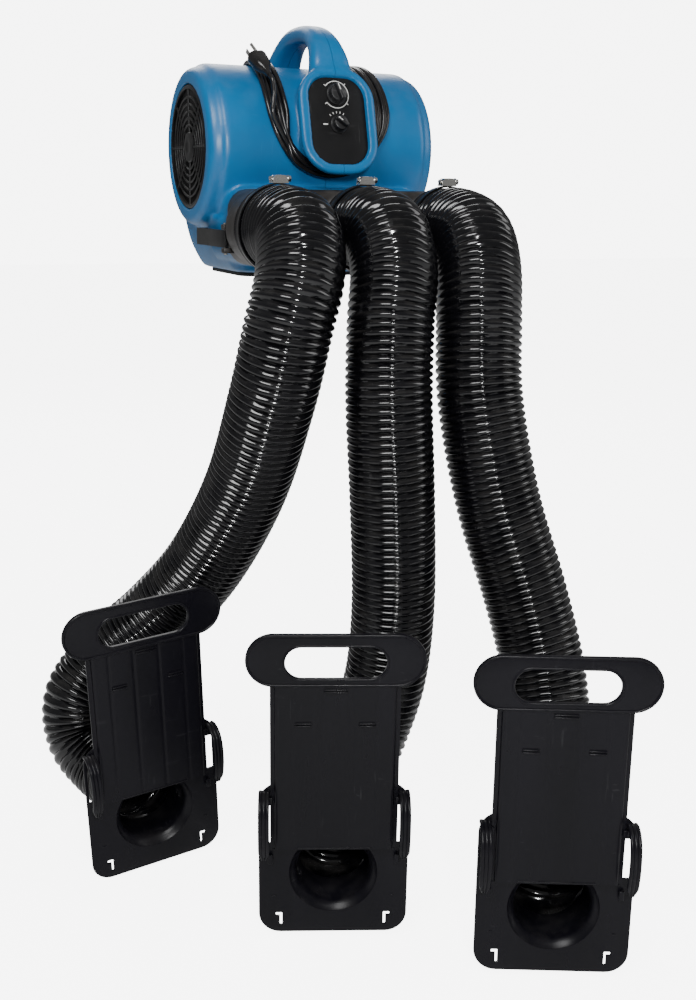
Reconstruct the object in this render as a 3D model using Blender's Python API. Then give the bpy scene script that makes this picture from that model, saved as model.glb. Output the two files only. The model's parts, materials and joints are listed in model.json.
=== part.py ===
"""Three-hose blower dryer.

A double-inlet fan in a moulded two-part housing blows into a manifold with three necks. Each
neck carries a flexible hose that ends in a hook-on outlet plate with a sliding gate.
Metres, +Z up, +X along the fan axis, front towards -Y. The origin is the middle of the base
pad's underside; the hoses hang below it and the plates stand on a floor 0.78 m lower.
"""
import bmesh
import bpy
from math import atan2, cos, hypot, pi, radians, sin
from mathutils import Matrix, Vector

GAP = 0.0003

# housing
AXIS_Z = 0.182
BODY_R = 0.117
BODY_HALF = 0.175
WALL = 0.004
INLET_R = 0.088
MOUTH_Y = -0.1297
MOUTH_Z = 0.072

# control boss
BOSS_TILT = radians(15)
BOSS_FACE = Vector((0.0, -0.156, 0.219))

# manifold and hoses
NECK_X = (-0.125, 0.0, 0.125)
NECK_TIP_Y = -0.275
NECK_R = 0.049
HOSE_R = 0.0565
HOSE_WALL = 0.0057
HOSE_START_Y = -0.222
HOSE_SIDES = 16

# outlet plates
PLATE_W = 0.184
PLATE_H = 0.208
PLATE_T = 0.003
HOLE_V = 0.084
COLLAR_R = 0.049
COLLAR_DEPTH = 0.058
GATE_W = 0.144
GATE_LOW = 0.122
BAR_V = 0.372
BAR_W = 0.212
BAR_H = 0.066

# mains cord
CORD_R = 0.0035

# name, foot position, yaw, lean back, roll
PLATES = {
    "left": ((-0.325, -0.300, -0.784), 5.0, -5.0, 4.0),
    "middle": ((-0.170, -0.549, -0.779), -22.0, -2.0, 0.0),
    "right": ((0.037, -0.724, -0.779), -25.5, 0.0, 0.0),
}

# free run of each hose between the neck and the plate's collar
HOSE_ROUTES = {
    "left": [(-0.128, -0.325, 0.062), (-0.142, -0.362, 0.018), (-0.160, -0.368, -0.045),
             (-0.172, -0.342, -0.138), (-0.186, -0.276, -0.268), (-0.222, -0.204, -0.390),
             (-0.276, -0.152, -0.476), (-0.336, -0.122, -0.538), (-0.382, -0.114, -0.600),
             (-0.384, -0.128, -0.656), (-0.358, -0.170, -0.690)],
    "middle": [(-0.004, -0.326, 0.062), (-0.014, -0.366, 0.022), (-0.028, -0.388, -0.040),
               (-0.034, -0.400, -0.135), (-0.025, -0.398, -0.269), (-0.016, -0.390, -0.409),
               (-0.018, -0.377, -0.520), (-0.040, -0.372, -0.600), (-0.082, -0.392, -0.662)],
    "right": [(0.121, -0.328, 0.060), (0.108, -0.370, 0.022), (0.095, -0.398, -0.040),
              (0.090, -0.418, -0.140), (0.110, -0.440, -0.272), (0.142, -0.470, -0.400),
              (0.158, -0.500, -0.505), (0.150, -0.534, -0.595), (0.124, -0.580, -0.662)],
}

# cord wrap round the boss and the handle's rear foot, one half:
# angle up from the front, sideways place, half width, half thickness
WRAP = [(-15, 0.000, 0.0095, 0.0095), (-13, 0.027, 0.0095, 0.0090), (-6, 0.054, 0.0100, 0.0085),
        (8, 0.070, 0.0140, 0.0075), (25, 0.076, 0.0165, 0.0075), (45, 0.077, 0.0165, 0.0075),
        (65, 0.075, 0.0165, 0.0075), (85, 0.070, 0.0160, 0.0075), (105, 0.064, 0.0150, 0.0080),
        (125, 0.056, 0.0130, 0.0085), (142, 0.048, 0.0100, 0.0095), (151, 0.026, 0.0095, 0.0095),
        (154, 0.000, 0.0095, 0.0095)]


# ---------------------------------------------------------------- helpers

def clear_scene():
    """Empties the file."""
    for obj in list(bpy.data.objects):
        bpy.data.objects.remove(obj)


def make_material(name, colour, roughness, metallic=0.0):
    """One plain Principled material."""
    mat = bpy.data.materials.new(name)
    mat.use_nodes = True
    shader = mat.node_tree.nodes["Principled BSDF"]
    shader.inputs["Base Color"].default_value = (*colour, 1.0)
    shader.inputs["Roughness"].default_value = roughness
    shader.inputs["Metallic"].default_value = metallic
    mat.diffuse_color = (*colour, 1.0)
    return mat


def add_object(name, bm, mat=None, smooth=True):
    """Turns a bmesh into a named object with outward normals."""
    bmesh.ops.remove_doubles(bm, verts=bm.verts, dist=1e-6)
    bmesh.ops.recalc_face_normals(bm, faces=bm.faces)
    mesh = bpy.data.meshes.new(name)
    bm.to_mesh(mesh)
    bm.free()
    obj = bpy.data.objects.new(name, mesh)
    bpy.context.scene.collection.objects.link(obj)
    finish_mesh(obj, mat, smooth)
    return obj


def finish_mesh(obj, mat, smooth=True):
    """Gives a mesh its material and smooth shading with crisp edges."""
    obj.data.materials.clear()
    if mat is not None:
        obj.data.materials.append(mat)
    for face in obj.data.polygons:
        face.use_smooth = smooth
    obj.data.set_sharp_from_angle(angle=radians(32))


def combine(obj, tool, operation):
    """Applies one boolean of tool to obj and removes the tool."""
    mod = obj.modifiers.new(operation, "BOOLEAN")
    mod.operation = operation
    mod.solver = "EXACT"
    mod.object = tool
    graph = bpy.context.evaluated_depsgraph_get()
    mesh = bpy.data.meshes.new_from_object(obj.evaluated_get(graph))
    obj.modifiers.clear()
    obj.data = mesh
    bpy.data.objects.remove(tool)
    return obj


def loft(loops, ring=False):
    """Skins equal-length closed loops; capped at both ends, or closed into a ring."""
    bm = bmesh.new()
    rows = [[bm.verts.new(p) for p in loop] for loop in loops]
    count = len(rows[0])
    pairs = list(zip(rows, rows[1:]))
    if ring:
        pairs.append((rows[-1], rows[0]))
    else:
        bm.faces.new(rows[0])
        bm.faces.new(rows[-1])
    for low, high in pairs:
        for i in range(count):
            j = (i + 1) % count
            bm.faces.new((low[i], low[j], high[j], high[i]))
    return bm


def rounded_rect(width, height, radius, steps=4, cx=0.0, cy=0.0):
    """Outline of a rounded rectangle, 4 * (steps + 1) points."""
    points = []
    corners = ((1, 1, 0), (-1, 1, 90), (-1, -1, 180), (1, -1, 270))
    for sx, sy, start in corners:
        for k in range(steps + 1):
            a = radians(start + 90 * k / steps)
            x = cx + sx * (width / 2 - radius) + radius * cos(a)
            y = cy + sy * (height / 2 - radius) + radius * sin(a)
            points.append((x, y))
    return points


def circle(radius, count, cx=0.0, cy=0.0, phase=0.0):
    """Outline of a regular polygon."""
    step = 2 * pi / count
    return [(cx + radius * cos(phase + k * step), cy + radius * sin(phase + k * step))
            for k in range(count)]


def along_x(outline, x):
    """Places (y, z) outline points at one x."""
    return [(x, p[0], p[1]) for p in outline]


def along_y(outline, y):
    """Places (x, z) outline points at one y."""
    return [(p[0], y, p[1]) for p in outline]


def along_z(outline, z):
    """Places (x, y) outline points at one z."""
    return [(p[0], p[1], z) for p in outline]


def box(low, high):
    """Axis-aligned block."""
    bm = bmesh.new()
    bmesh.ops.create_cube(bm, size=1.0)
    for vert in bm.verts:
        vert.co = Vector([low[i] if vert.co[i] < 0 else high[i] for i in range(3)])
    return bm


def turned(profile, segments, closed=False):
    """Solid of revolution about X from (x, radius) points; ends meet the axis unless closed."""
    bm = bmesh.new()
    rows = []
    for k in range(segments):
        a = 2 * pi * k / segments
        rows.append([bm.verts.new((x, -r * cos(a), r * sin(a))) for x, r in profile])
    last = len(profile) if closed else len(profile) - 1
    for k in range(segments):
        near, far = rows[k], rows[(k + 1) % segments]
        for i in range(last):
            j = (i + 1) % len(profile)
            bm.faces.new((near[i], near[j], far[j], far[i]))
    return bm


def polar_cells(xs, radii, segments, filled):
    """Solid made of the filled (layer, band, sector) cells of a polar grid about X."""
    bm = bmesh.new()
    verts = {}

    def vertex(i, j, k):
        key = (i, j, k % segments)
        if key not in verts:
            a = 2 * pi * key[2] / segments
            verts[key] = bm.verts.new((xs[i], -radii[j] * cos(a), radii[j] * sin(a)))
        return verts[key]

    def solid(i, j, k):
        inside = 0 <= i < len(xs) - 1 and 0 <= j < len(radii) - 1
        return inside and filled(i, j, k % segments)

    def wall(corners):
        bm.faces.new([vertex(*c) for c in corners])

    for i in range(len(xs) - 1):
        for j in range(len(radii) - 1):
            for k in range(segments):
                if not solid(i, j, k):
                    continue
                if not solid(i - 1, j, k):
                    wall(((i, j, k), (i, j + 1, k), (i, j + 1, k + 1), (i, j, k + 1)))
                if not solid(i + 1, j, k):
                    wall(((i + 1, j, k), (i + 1, j + 1, k), (i + 1, j + 1, k + 1), (i + 1, j, k + 1)))
                if not solid(i, j - 1, k) and radii[j] > 0:
                    wall(((i, j, k), (i + 1, j, k), (i + 1, j, k + 1), (i, j, k + 1)))
                if not solid(i, j + 1, k):
                    wall(((i, j + 1, k), (i + 1, j + 1, k), (i + 1, j + 1, k + 1), (i, j + 1, k + 1)))
                if not solid(i, j, k - 1):
                    wall(((i, j, k), (i + 1, j, k), (i + 1, j + 1, k), (i, j + 1, k)))
                if not solid(i, j, k + 1):
                    wall(((i, j, k + 1), (i + 1, j, k + 1), (i + 1, j + 1, k + 1), (i, j + 1, k + 1)))
    return bm


def moved(bm, matrix):
    """Transforms a bmesh in place."""
    bmesh.ops.transform(bm, matrix=matrix, verts=bm.verts)
    return bm


def catmull(points, per_span):
    """Smooth curve through the points, per_span steps for each span."""
    points = [Vector(p) for p in points]
    ends = [2 * points[0] - points[1]] + points + [2 * points[-1] - points[-2]]
    curve = []
    for a, b, c, d in zip(ends, ends[1:], ends[2:], ends[3:]):
        for k in range(per_span):
            t = k / per_span
            curve.append(0.5 * (2 * b + (c - a) * t + (2 * a - 5 * b + 4 * c - d) * t * t
                                + (3 * b - a - 3 * c + d) * t ** 3))
    curve.append(points[-1])
    return curve


def resample(curve, step):
    """Evenly spaced points along a curve, near step apart."""
    lengths = [0.0]
    for a, b in zip(curve, curve[1:]):
        lengths.append(lengths[-1] + (b - a).length)
    count = max(2, round(lengths[-1] / step))
    out = []
    i = 0
    for k in range(count + 1):
        want = lengths[-1] * k / count
        while i < len(curve) - 2 and lengths[i + 1] < want:
            i += 1
        t = (want - lengths[i]) / (lengths[i + 1] - lengths[i])
        out.append(curve[i].lerp(curve[i + 1], t))
    return out


def frames(curve, side):
    """Twist-free (point, side, up) frames along a curve."""
    out = []
    for i, point in enumerate(curve):
        ahead = curve[min(i + 1, len(curve) - 1)] - curve[max(i - 1, 0)]
        ahead.normalize()
        side = (side - ahead * side.dot(ahead)).normalized()
        out.append((point, side, ahead.cross(side)))
    return out


def hollow_tube(curve, outer, inner, sides, side):
    """Open-ended pipe wall round a curve."""
    loops_out = []
    loops_in = []
    for point, u, v in frames(curve, side):
        loops_out.append([point + u * p + v * q for p, q in circle(outer, sides)])
        loops_in.append([point + u * p + v * q for p, q in circle(inner, sides)])
    return loft(loops_out + loops_in[::-1], ring=True)


def cord_piece(name, curve, radius, mat):
    """Solid round cord as a bevelled curve with closed ends."""
    data = bpy.data.curves.new(name, "CURVE")
    data.dimensions = "3D"
    data.bevel_depth = radius
    data.bevel_resolution = 2
    data.use_fill_caps = True
    spline = data.splines.new("POLY")
    spline.points.add(len(curve) - 1)
    for slot, point in zip(spline.points, curve):
        slot.co = (*point, 1.0)
    data.materials.append(mat)
    obj = bpy.data.objects.new(name, data)
    bpy.context.scene.collection.objects.link(obj)
    return obj


# ---------------------------------------------------------------- housing

def boss_matrix():
    """Boss frame: x sideways, y up the face, z out of the face."""
    out = Vector((0.0, -cos(BOSS_TILT), sin(BOSS_TILT)))
    up = Vector((0.0, sin(BOSS_TILT), cos(BOSS_TILT)))
    side = Vector((1.0, 0.0, 0.0))
    turn = Matrix((side, up, out)).transposed().to_4x4()
    return Matrix.Translation(BOSS_FACE) @ turn


def boss_solid():
    """Flared control boss: a narrow neck for the cord wrap under a wide rim."""
    sections = ((-0.080, 0.084, 0.108, 0.008), (-0.031, 0.084, 0.108, 0.008),
                (-0.022, 0.092, 0.118, 0.006), (-0.013, 0.110, 0.144, 0.001),
                (-0.008, 0.115, 0.150, 0.000), (-0.004, 0.115, 0.150, 0.000),
                (-0.001, 0.112, 0.147, 0.000), (0.000, 0.107, 0.142, 0.000))
    loops = [along_z(rounded_rect(w, h, 0.4 * w, 5, 0.0, c), s) for s, w, h, c in sections]
    return moved(loft(loops), boss_matrix())


def handle_solid():
    """Arched carrying handle that runs front to back over the housing."""
    path = ((-0.105, 0.240, 0.060, 0.030), (-0.121, 0.275, 0.060, 0.028),
            (-0.112, 0.305, 0.050, 0.027), (-0.088, 0.328, 0.040, 0.025),
            (-0.058, 0.340, 0.034, 0.024), (-0.025, 0.344, 0.032, 0.023),
            (0.010, 0.340, 0.034, 0.024), (0.040, 0.326, 0.040, 0.025),
            (0.064, 0.303, 0.050, 0.027), (0.080, 0.276, 0.060, 0.028),
            (0.086, 0.245, 0.064, 0.030))
    loops = []
    for i, (y, z, width, thick) in enumerate(path):
        before = path[max(i - 1, 0)]
        after = path[min(i + 1, len(path) - 1)]
        angle = atan2(after[1] - before[1], after[0] - before[0])
        loop = []
        for across, out in rounded_rect(width, thick, 0.42 * thick, 3):
            loop.append((across, y - out * sin(angle), z + out * cos(angle)))
        loops.append(loop)
    return loft(loops)


def barrel_profile():
    """Outer half-profile of the drum with a rolled rim and a groove at each end."""
    half = [(BODY_HALF, 0.0), (BODY_HALF, 0.097), (0.1735, 0.104), (0.169, 0.109),
            (0.162, 0.1115), (0.1565, 0.1125), (0.1545, 0.1155), (0.148, BODY_R)]
    return [(-x, r) for x, r in half] + half[::-1]


def housing_outer():
    """Drum, foot, outlet duct, boss and handle fused into one skin."""
    body = add_object("housing", moved(turned(barrel_profile(), 48), Matrix.Translation((0, 0, AXIS_Z))))
    foot = [along_z(rounded_rect(2 * x, y1 - y0, 0.030, 3, 0.0, (y0 + y1) / 2), z)
            for z, x, y0, y1 in ((0.0063, 0.134, -0.098, 0.088), (0.012, 0.140, -0.104, 0.094),
                                 (0.085, 0.158, -0.106, 0.104))]
    combine(body, add_object("foot", loft(foot)), "UNION")
    duct = [along_y(rounded_rect(0.300, 0.108, 0.026, 3, 0.0, MOUTH_Z), y) for y in (MOUTH_Y, -0.030)]
    combine(body, add_object("duct", loft(duct)), "UNION")
    combine(body, add_object("boss", boss_solid()), "UNION")
    combine(body, add_object("handle", handle_solid()), "UNION")
    return body


def housing_hollow(body):
    """Cuts the fan chamber, the duct, the boss pocket and the cord gland hole."""
    half = [(0.185, 0.0), (0.185, INLET_R), (0.168, INLET_R), (0.168, 0.101), (0.150, 0.113)]
    inner = [(-x, r) for x, r in half] + half[::-1]
    drum = moved(turned(inner, 40), Matrix.Translation((0, 0, AXIS_Z)))
    combine(body, add_object("chamber", drum), "DIFFERENCE")
    duct = [along_y(rounded_rect(0.288, 0.096, 0.021, 3, 0.0, MOUTH_Z), y) for y in (-0.140, -0.036)]
    combine(body, add_object("duct_cut", loft(duct)), "DIFFERENCE")
    pocket = loft([along_z(rounded_rect(0.068, 0.094, 0.012, 2, 0.0, 0.009), s) for s in (-0.040, -0.005)])
    combine(body, add_object("pocket", moved(pocket, boss_matrix())), "DIFFERENCE")
    recess = loft([along_z(rounded_rect(0.0866, 0.1226, 0.0303, 5), s) for s in (-0.008, 0.010)])
    combine(body, add_object("recess", moved(recess, boss_matrix())), "DIFFERENCE")
    gland = loft([along_y(circle(0.0073, 16, 0.070, 0.196), y) for y in (0.100, 0.130)])
    combine(body, add_object("gland_hole", gland), "DIFFERENCE")
    return body


def make_housing(mat):
    """Left and right halves meeting at the middle plane."""
    body = housing_hollow(housing_outer())
    right = bpy.data.objects.new("housing_right", body.data.copy())
    bpy.context.scene.collection.objects.link(right)
    body.name = "housing_left"
    combine(body, add_object("keep", box((-0.3, -0.4, -0.1), (-GAP / 2, 0.4, 0.5))), "INTERSECT")
    combine(right, add_object("keep", box((GAP / 2, -0.4, -0.1), (0.3, 0.4, 0.5))), "INTERSECT")
    finish_mesh(body, mat)
    finish_mesh(right, mat)


def make_base_pad(mat):
    """Rubber pad the blower stands on."""
    pad = loft([along_z(rounded_rect(0.240, 0.160, 0.020, 4, 0.0, -0.004), z) for z in (0.0, 0.006)])
    add_object("base_pad", pad, mat)


def make_grilles(mat):
    """Ringed and spoked guard in each inlet."""
    radii = (0.0, 0.022, 0.037, 0.041, 0.058, 0.062, 0.0815, 0.0873)
    bands = {0, 2, 4, 6}
    for side, sign in (("left", -1), ("right", 1)):
        guard = polar_cells((sign * 0.1735, sign * 0.1690), radii, 40,
                            lambda i, j, k: j in bands or k % 5 == 0)
        add_object("inlet_grille_" + side, moved(guard, Matrix.Translation((0, 0, AXIS_Z))), mat)


# ---------------------------------------------------------------- fan

def make_motor(mat, mat_shaft, mat_bracket, mat_cap):
    """Motor with its through shaft, its yoke and its run capacitor."""
    lift = Matrix.Translation((0, 0, AXIS_Z))
    half = [(0.048, 0.0066), (0.048, 0.020), (0.044, 0.042), (0.036, 0.055)]
    case = turned(half + [(-x, r) for x, r in half[::-1]], 24, closed=True)
    add_object("motor", moved(case, lift), mat)
    shaft = turned([(-0.130, 0.0), (-0.130, 0.006), (0.130, 0.006), (0.130, 0.0)], 12)
    add_object("motor_shaft", moved(shaft, lift), mat_shaft)
    arms = {5, 6, 17, 18, 29, 30}
    yoke = polar_cells((-0.010, 0.010), (0.0557, 0.0620, 0.1125), 48, lambda i, j, k: j == 0 or k in arms)
    add_object("motor_yoke", moved(yoke, lift), mat_bracket)
    can = turned([(-0.025, 0.0), (-0.025, 0.015), (0.025, 0.015), (0.025, 0.0)], 16)
    add_object("run_capacitor", moved(can, Matrix.Translation((0.0, 0.0776, AXIS_Z))), mat_cap)


def make_wheels(mat):
    """Squirrel-cage wheel on each end of the shaft."""
    def blade(i, j, k):
        if j == 0:
            return i < 2
        if j == 1:
            return i == 0
        return i in (0, 3) or k % 2 == 0

    for side, sign in (("left", -1), ("right", 1)):
        xs = [sign * x for x in (0.058, 0.061, 0.074, 0.142, 0.146)]
        wheel = polar_cells(xs, (0.0063, 0.017, 0.066, 0.084), 36, blade)
        add_object("fan_wheel_" + side, moved(wheel, Matrix.Translation((0, 0, AXIS_Z))), mat)


# ---------------------------------------------------------------- controls

def make_controls(mat_panel, mat_knob, mat_switch):
    """Panel plate with the two knobs in front and their switches behind."""
    frame = boss_matrix()
    plate = loft([along_z(rounded_rect(0.086, 0.122, 0.030, 5), s) for s in (-0.0076, -0.0050)])
    panel = add_object("control_panel", moved(plate, frame), mat_panel)
    for v in (0.037, -0.005):
        hole = loft([along_z(circle(0.0042, 16, 0.0, v), s) for s in (-0.012, 0.0)])
        combine(panel, add_object("hole", moved(hole, frame)), "DIFFERENCE")
    finish_mesh(panel, mat_panel)
    make_knob("timer_knob", 0.037, 0.0145, 0.0125, 20, mat_knob)
    make_knob("speed_knob", -0.005, 0.0125, 0.0105, 125, mat_knob)
    for name, v, half, depth in (("timer_body", 0.037, 0.0165, -0.034), ("speed_switch", -0.005, 0.014, -0.028)):
        body = loft([along_z(rounded_rect(2 * half, 2 * half, 0.003, 2, 0.0, v), s) for s in (depth, -0.0108)])
        add_object(name, moved(body, frame), mat_switch)


def make_knob(name, v, skirt, grip, turn, mat):
    """Skirted knob with a finger bar and a spindle through the panel."""
    frame = boss_matrix() @ Matrix.Translation((0.0, v, 0.0))
    sections = ((-0.0105, 0.0034), (-0.0045, 0.0034), (-0.0045, skirt), (-0.0020, skirt),
                (-0.0012, grip), (0.0060, grip * 0.94), (0.0068, grip * 0.85))
    knob = add_object(name, loft([along_z(circle(r, 24), s) for s, r in sections]), mat)
    bar = loft([along_z(rounded_rect(w, 2.0 * grip - 0.001, 0.0012, 2), s)
                for s, w in ((0.004, 0.007), (0.0135, 0.0048))])
    combine(knob, add_object("bar", moved(bar, Matrix.Rotation(radians(-turn), 4, "Z"))), "UNION")
    finish_mesh(knob, mat)
    knob.data.transform(frame)


# ---------------------------------------------------------------- manifold

def make_manifold(mat):
    """Plenum on the outlet with three round hose necks and latch lugs."""
    plan = ((-0.1338, 0.160, 0.052), (-0.190, 0.160, 0.052), (-0.204, 0.157, 0.049), (-0.211, 0.148, 0.042))
    loops = [along_y(rounded_rect(2 * w, 2 * h, h - 0.022, 5, 0.0, MOUTH_Z), y) for y, w, h in plan]
    body = add_object("outlet_manifold", loft(loops))
    for x in NECK_X:
        loops = [along_y(circle(r, 24, x, MOUTH_Z), y)
                 for y, r in ((-0.190, 0.0575), (-0.209, 0.0545), (-0.218, NECK_R), (NECK_TIP_Y, NECK_R))]
        combine(body, add_object("neck", loft(loops)), "UNION")
    for sign in (-1, 1):
        for z0, z1 in ((0.037, 0.0442), (0.0688, 0.076)):
            x0, x1 = sorted((sign * 0.152, sign * 0.1725))
            combine(body, add_object("lug", box((x0, -0.1555, z0), (x1, -0.1445, z1))), "UNION")
        bore = loft([along_z(circle(0.0026, 20, sign * 0.1675, -0.150), z) for z in (0.030, 0.085)])
        combine(body, add_object("bore", bore), "DIFFERENCE")
    inner = [along_y(rounded_rect(2 * w, 2 * h, 0.024, 4, 0.0, MOUTH_Z), y)
             for y, w, h in ((-0.125, 0.1565, 0.0485), (-0.190, 0.1565, 0.0485), (-0.206, 0.148, 0.042))]
    combine(body, add_object("plenum", loft(inner)), "DIFFERENCE")
    for x in NECK_X:
        bore = loft([along_y(circle(0.0455, 24, x, MOUTH_Z), y) for y in (-0.180, -0.290)])
        combine(body, add_object("bore", bore), "DIFFERENCE")
    finish_mesh(body, mat)


def make_seal(mat):
    """Flat rubber gasket between duct mouth and manifold."""
    outer = rounded_rect(0.300, 0.100, 0.024, 4, 0.0, MOUTH_Z)
    inner = rounded_rect(0.286, 0.086, 0.018, 4, 0.0, MOUTH_Z)
    back, front = MOUTH_Y - GAP, -0.1335
    loops = [along_y(outer, back), along_y(outer, front), along_y(inner, front), along_y(inner, back)]
    add_object("manifold_seal", loft(loops, ring=True), mat)


def make_latches(mat_arm, mat_pin, mat_keeper):
    """Swinging arm on each side that hooks behind a keeper on the housing."""
    for side, sign in (("left", -1), ("right", 1)):
        outline = [(0.1650, -0.1555), (0.1700, -0.1555), (0.1715, -0.140), (0.1715, -0.030),
                   (0.1690, -0.027), (0.1560, -0.029), (0.1560, -0.0345), (0.1660, -0.0345), (0.1660, -0.135)]
        outline = [(sign * x, y) for x, y in outline]
        arm = add_object("latch_arm_" + side, loft([along_z(outline, z) for z in (0.0447, 0.0683)]))
        bore = loft([along_z(circle(0.0026, 20, sign * 0.1675, -0.150), z) for z in (0.035, 0.080)])
        combine(arm, add_object("bore", bore), "DIFFERENCE")
        finish_mesh(arm, mat_arm)
        pin = loft([along_z(circle(0.0025, 20, sign * 0.1675, -0.150), z) for z in (0.035, 0.078)])
        add_object("latch_pin_" + side, pin, mat_pin)
        loops = [[(sign * x, y, z) for x, y in ((low, -0.048), (0.164, -0.048), (0.164, -0.035), (low, -0.035))]
                 for z, low in ((0.048, 0.1504), (0.065, 0.1536))]
        add_object("latch_keeper_" + side, loft(loops), mat_keeper)


def make_neck_clamps(mat_band, mat_screw):
    """Worm-drive clamp round each hose at its neck."""
    for name, x in zip(("left", "middle", "right"), NECK_X):
        place = Matrix.Translation((x, -0.245, MOUTH_Z)) @ Matrix.Rotation(pi / 2, 4, "Z")
        make_clamp("neck_clamp_" + name, place, mat_band, mat_screw)


def make_clamp(name, place, mat_band, mat_screw):
    """Band round the local X axis with its screw housing on top."""
    profile = [(-0.0060, 0.0575), (0.0060, 0.0575), (0.0060, 0.0587), (-0.0060, 0.0587)]
    add_object(name + "_band", moved(turned(profile, 24, closed=True), place), mat_band)
    block = loft([along_x(rounded_rect(0.024, 0.010, 0.003, 2, 0.0, 0.0642), x) for x in (-0.0065, 0.0065)])
    screw = add_object(name + "_screw", block)
    head = turned([(-0.016, 0.0), (-0.016, 0.0045), (0.012, 0.0045), (0.012, 0.0)], 12)
    turn = Matrix.Translation((0.0, 0.0, 0.0650)) @ Matrix.Rotation(pi / 2, 4, "Z")
    combine(screw, add_object("head", moved(head, turn)), "UNION")
    finish_mesh(screw, mat_screw)
    screw.data.transform(place)


# ---------------------------------------------------------------- outlet plates

def plate_matrix(name):
    """Plate frame: x to the plate's right, -y out of its front, z up it, origin at its foot."""
    foot, yaw, lean, roll = PLATES[name]
    turn = Matrix.Rotation(radians(yaw), 4, "Z") @ Matrix.Rotation(radians(-lean), 4, "X")
    return Matrix.Translation(foot) @ turn @ Matrix.Rotation(radians(-roll), 4, "Y")


def bracket_blank():
    """Rounded plate with its round outlet and the collar behind it."""
    outline = rounded_rect(PLATE_W, PLATE_H, 0.027, 4, 0.0, PLATE_H / 2)
    plate = add_object("bracket", loft([along_y(outline, y) for y in (0.0, PLATE_T)]))
    hole = loft([along_y(circle(0.0552, 28, 0.0, HOLE_V), y) for y in (-0.01, 0.02)])
    combine(plate, add_object("hole", hole), "DIFFERENCE")
    profile = [(0.0005, 0.0540), (0.0005, 0.0570), (0.0040, 0.0575), (0.0100, 0.0500), (0.0130, COLLAR_R),
               (COLLAR_DEPTH, COLLAR_R), (COLLAR_DEPTH, 0.0455), (0.0120, 0.0455), (0.0075, 0.0475)]
    place = Matrix.Translation((0, 0, HOLE_V)) @ Matrix.Rotation(pi / 2, 4, "Z")
    collar = moved(turned(profile, 28, closed=True), place)
    combine(plate, add_object("collar", collar), "UNION")
    return plate


def hook_solid(sign):
    """Strap hook that rises forward out of the plate and turns down."""
    path = ((-0.0015, 0.1960), (0.0085, 0.1975), (0.0190, 0.1940), (0.0270, 0.1850), (0.0310, 0.1710),
            (0.0315, 0.1530), (0.0285, 0.1360), (0.0225, 0.1180))
    loops = []
    for i, (out, v) in enumerate(path):
        before = path[max(i - 1, 0)]
        after = path[min(i + 1, len(path) - 1)]
        angle = atan2(after[1] - before[1], after[0] - before[0])
        side, rise = -sin(angle) * 0.0015, cos(angle) * 0.0015
        u0, u1 = sign * 0.0780, sign * 0.0915
        loops.append([(u0, -out - side, v + rise), (u1, -out - side, v + rise),
                      (u1, -out + side, v - rise), (u0, -out + side, v - rise)])
    return loft(loops)


def make_bracket(name, mat):
    """Outlet plate: hooks, gate guides, windows and corner slots."""
    plate = bracket_blank()
    for sign in (-1, 1):
        for u0, u1, v0, v1 in ((0.0755, 0.0880, 0.126, 0.178), (0.0630, 0.0660, 0.010, 0.028),
                               (0.0590, 0.0670, 0.023, 0.028)):
            x0, x1 = sorted((sign * u0, sign * u1))
            combine(plate, add_object("slot", box((x0, -0.02, v0), (x1, 0.02, v1))), "DIFFERENCE")
        combine(plate, add_object("hook", hook_solid(sign)), "UNION")
        for v0, v1 in ((0.100, 0.112), (0.183, 0.191)):
            for u0, u1, n0, n1 in ((0.0782, 0.0805, -0.001, 0.0054), (0.0745, 0.0800, 0.0034, 0.0054)):
                x0, x1 = sorted((sign * u0, sign * u1))
                combine(plate, add_object("guide", box((x0, -n1, v0), (x1, -n0, v1))), "UNION")
    plate.name = "outlet_bracket_" + name
    finish_mesh(plate, mat)
    plate.data.transform(plate_matrix(name))


def gate_channel():
    """Hat-section sheet: front face, side walls and feet."""
    half = GATE_W / 2
    outline = [(-half - 0.0055, -0.0004), (-half - 0.0055, -0.0030), (-half, -0.0030), (-half, -0.0088),
               (half, -0.0088), (half, -0.0030), (half + 0.0055, -0.0030), (half + 0.0055, -0.0004),
               (half - 0.0025, -0.0004), (half - 0.0025, -0.0063), (-half + 0.0025, -0.0063),
               (-half + 0.0025, -0.0004)]
    return loft([along_z(outline, v) for v in (GATE_LOW, BAR_V - 0.030)])


def make_gate(name, mat):
    """Slide gate with a wide pull bar, a finger slot and raised stops."""
    gate = add_object("slide_gate_" + name, gate_channel())
    bar = loft([along_y(rounded_rect(BAR_W, BAR_H, BAR_H / 2 - 0.0001, 6, 0.0, BAR_V), y)
                for y in (-0.0093, -0.0045)])
    combine(gate, add_object("bar", bar), "UNION")
    slot = loft([along_y(rounded_rect(0.120, 0.040, 0.0199, 5, 0.0, BAR_V - 0.003), y) for y in (-0.02, 0.01)])
    combine(gate, add_object("slot", slot), "DIFFERENCE")
    for u, v, w in ((0.0, 0.3335, 0.028), (-0.038, 0.290, 0.020), (0.038, 0.290, 0.020)):
        stop = box((u - w / 2, -0.0110, v - 0.0022), (u + w / 2, -0.0080, v + 0.0022))
        combine(gate, add_object("stop", stop), "UNION")
    finish_mesh(gate, mat)
    gate.data.transform(plate_matrix(name))


def make_plate_clamp(name, mat_band, mat_screw):
    """Hose clamp behind the plate."""
    place = plate_matrix(name) @ Matrix.Translation((0.0, 0.035, HOLE_V)) @ Matrix.Rotation(pi / 2, 4, "Z")
    make_clamp("plate_clamp_" + name, place, mat_band, mat_screw)


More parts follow.
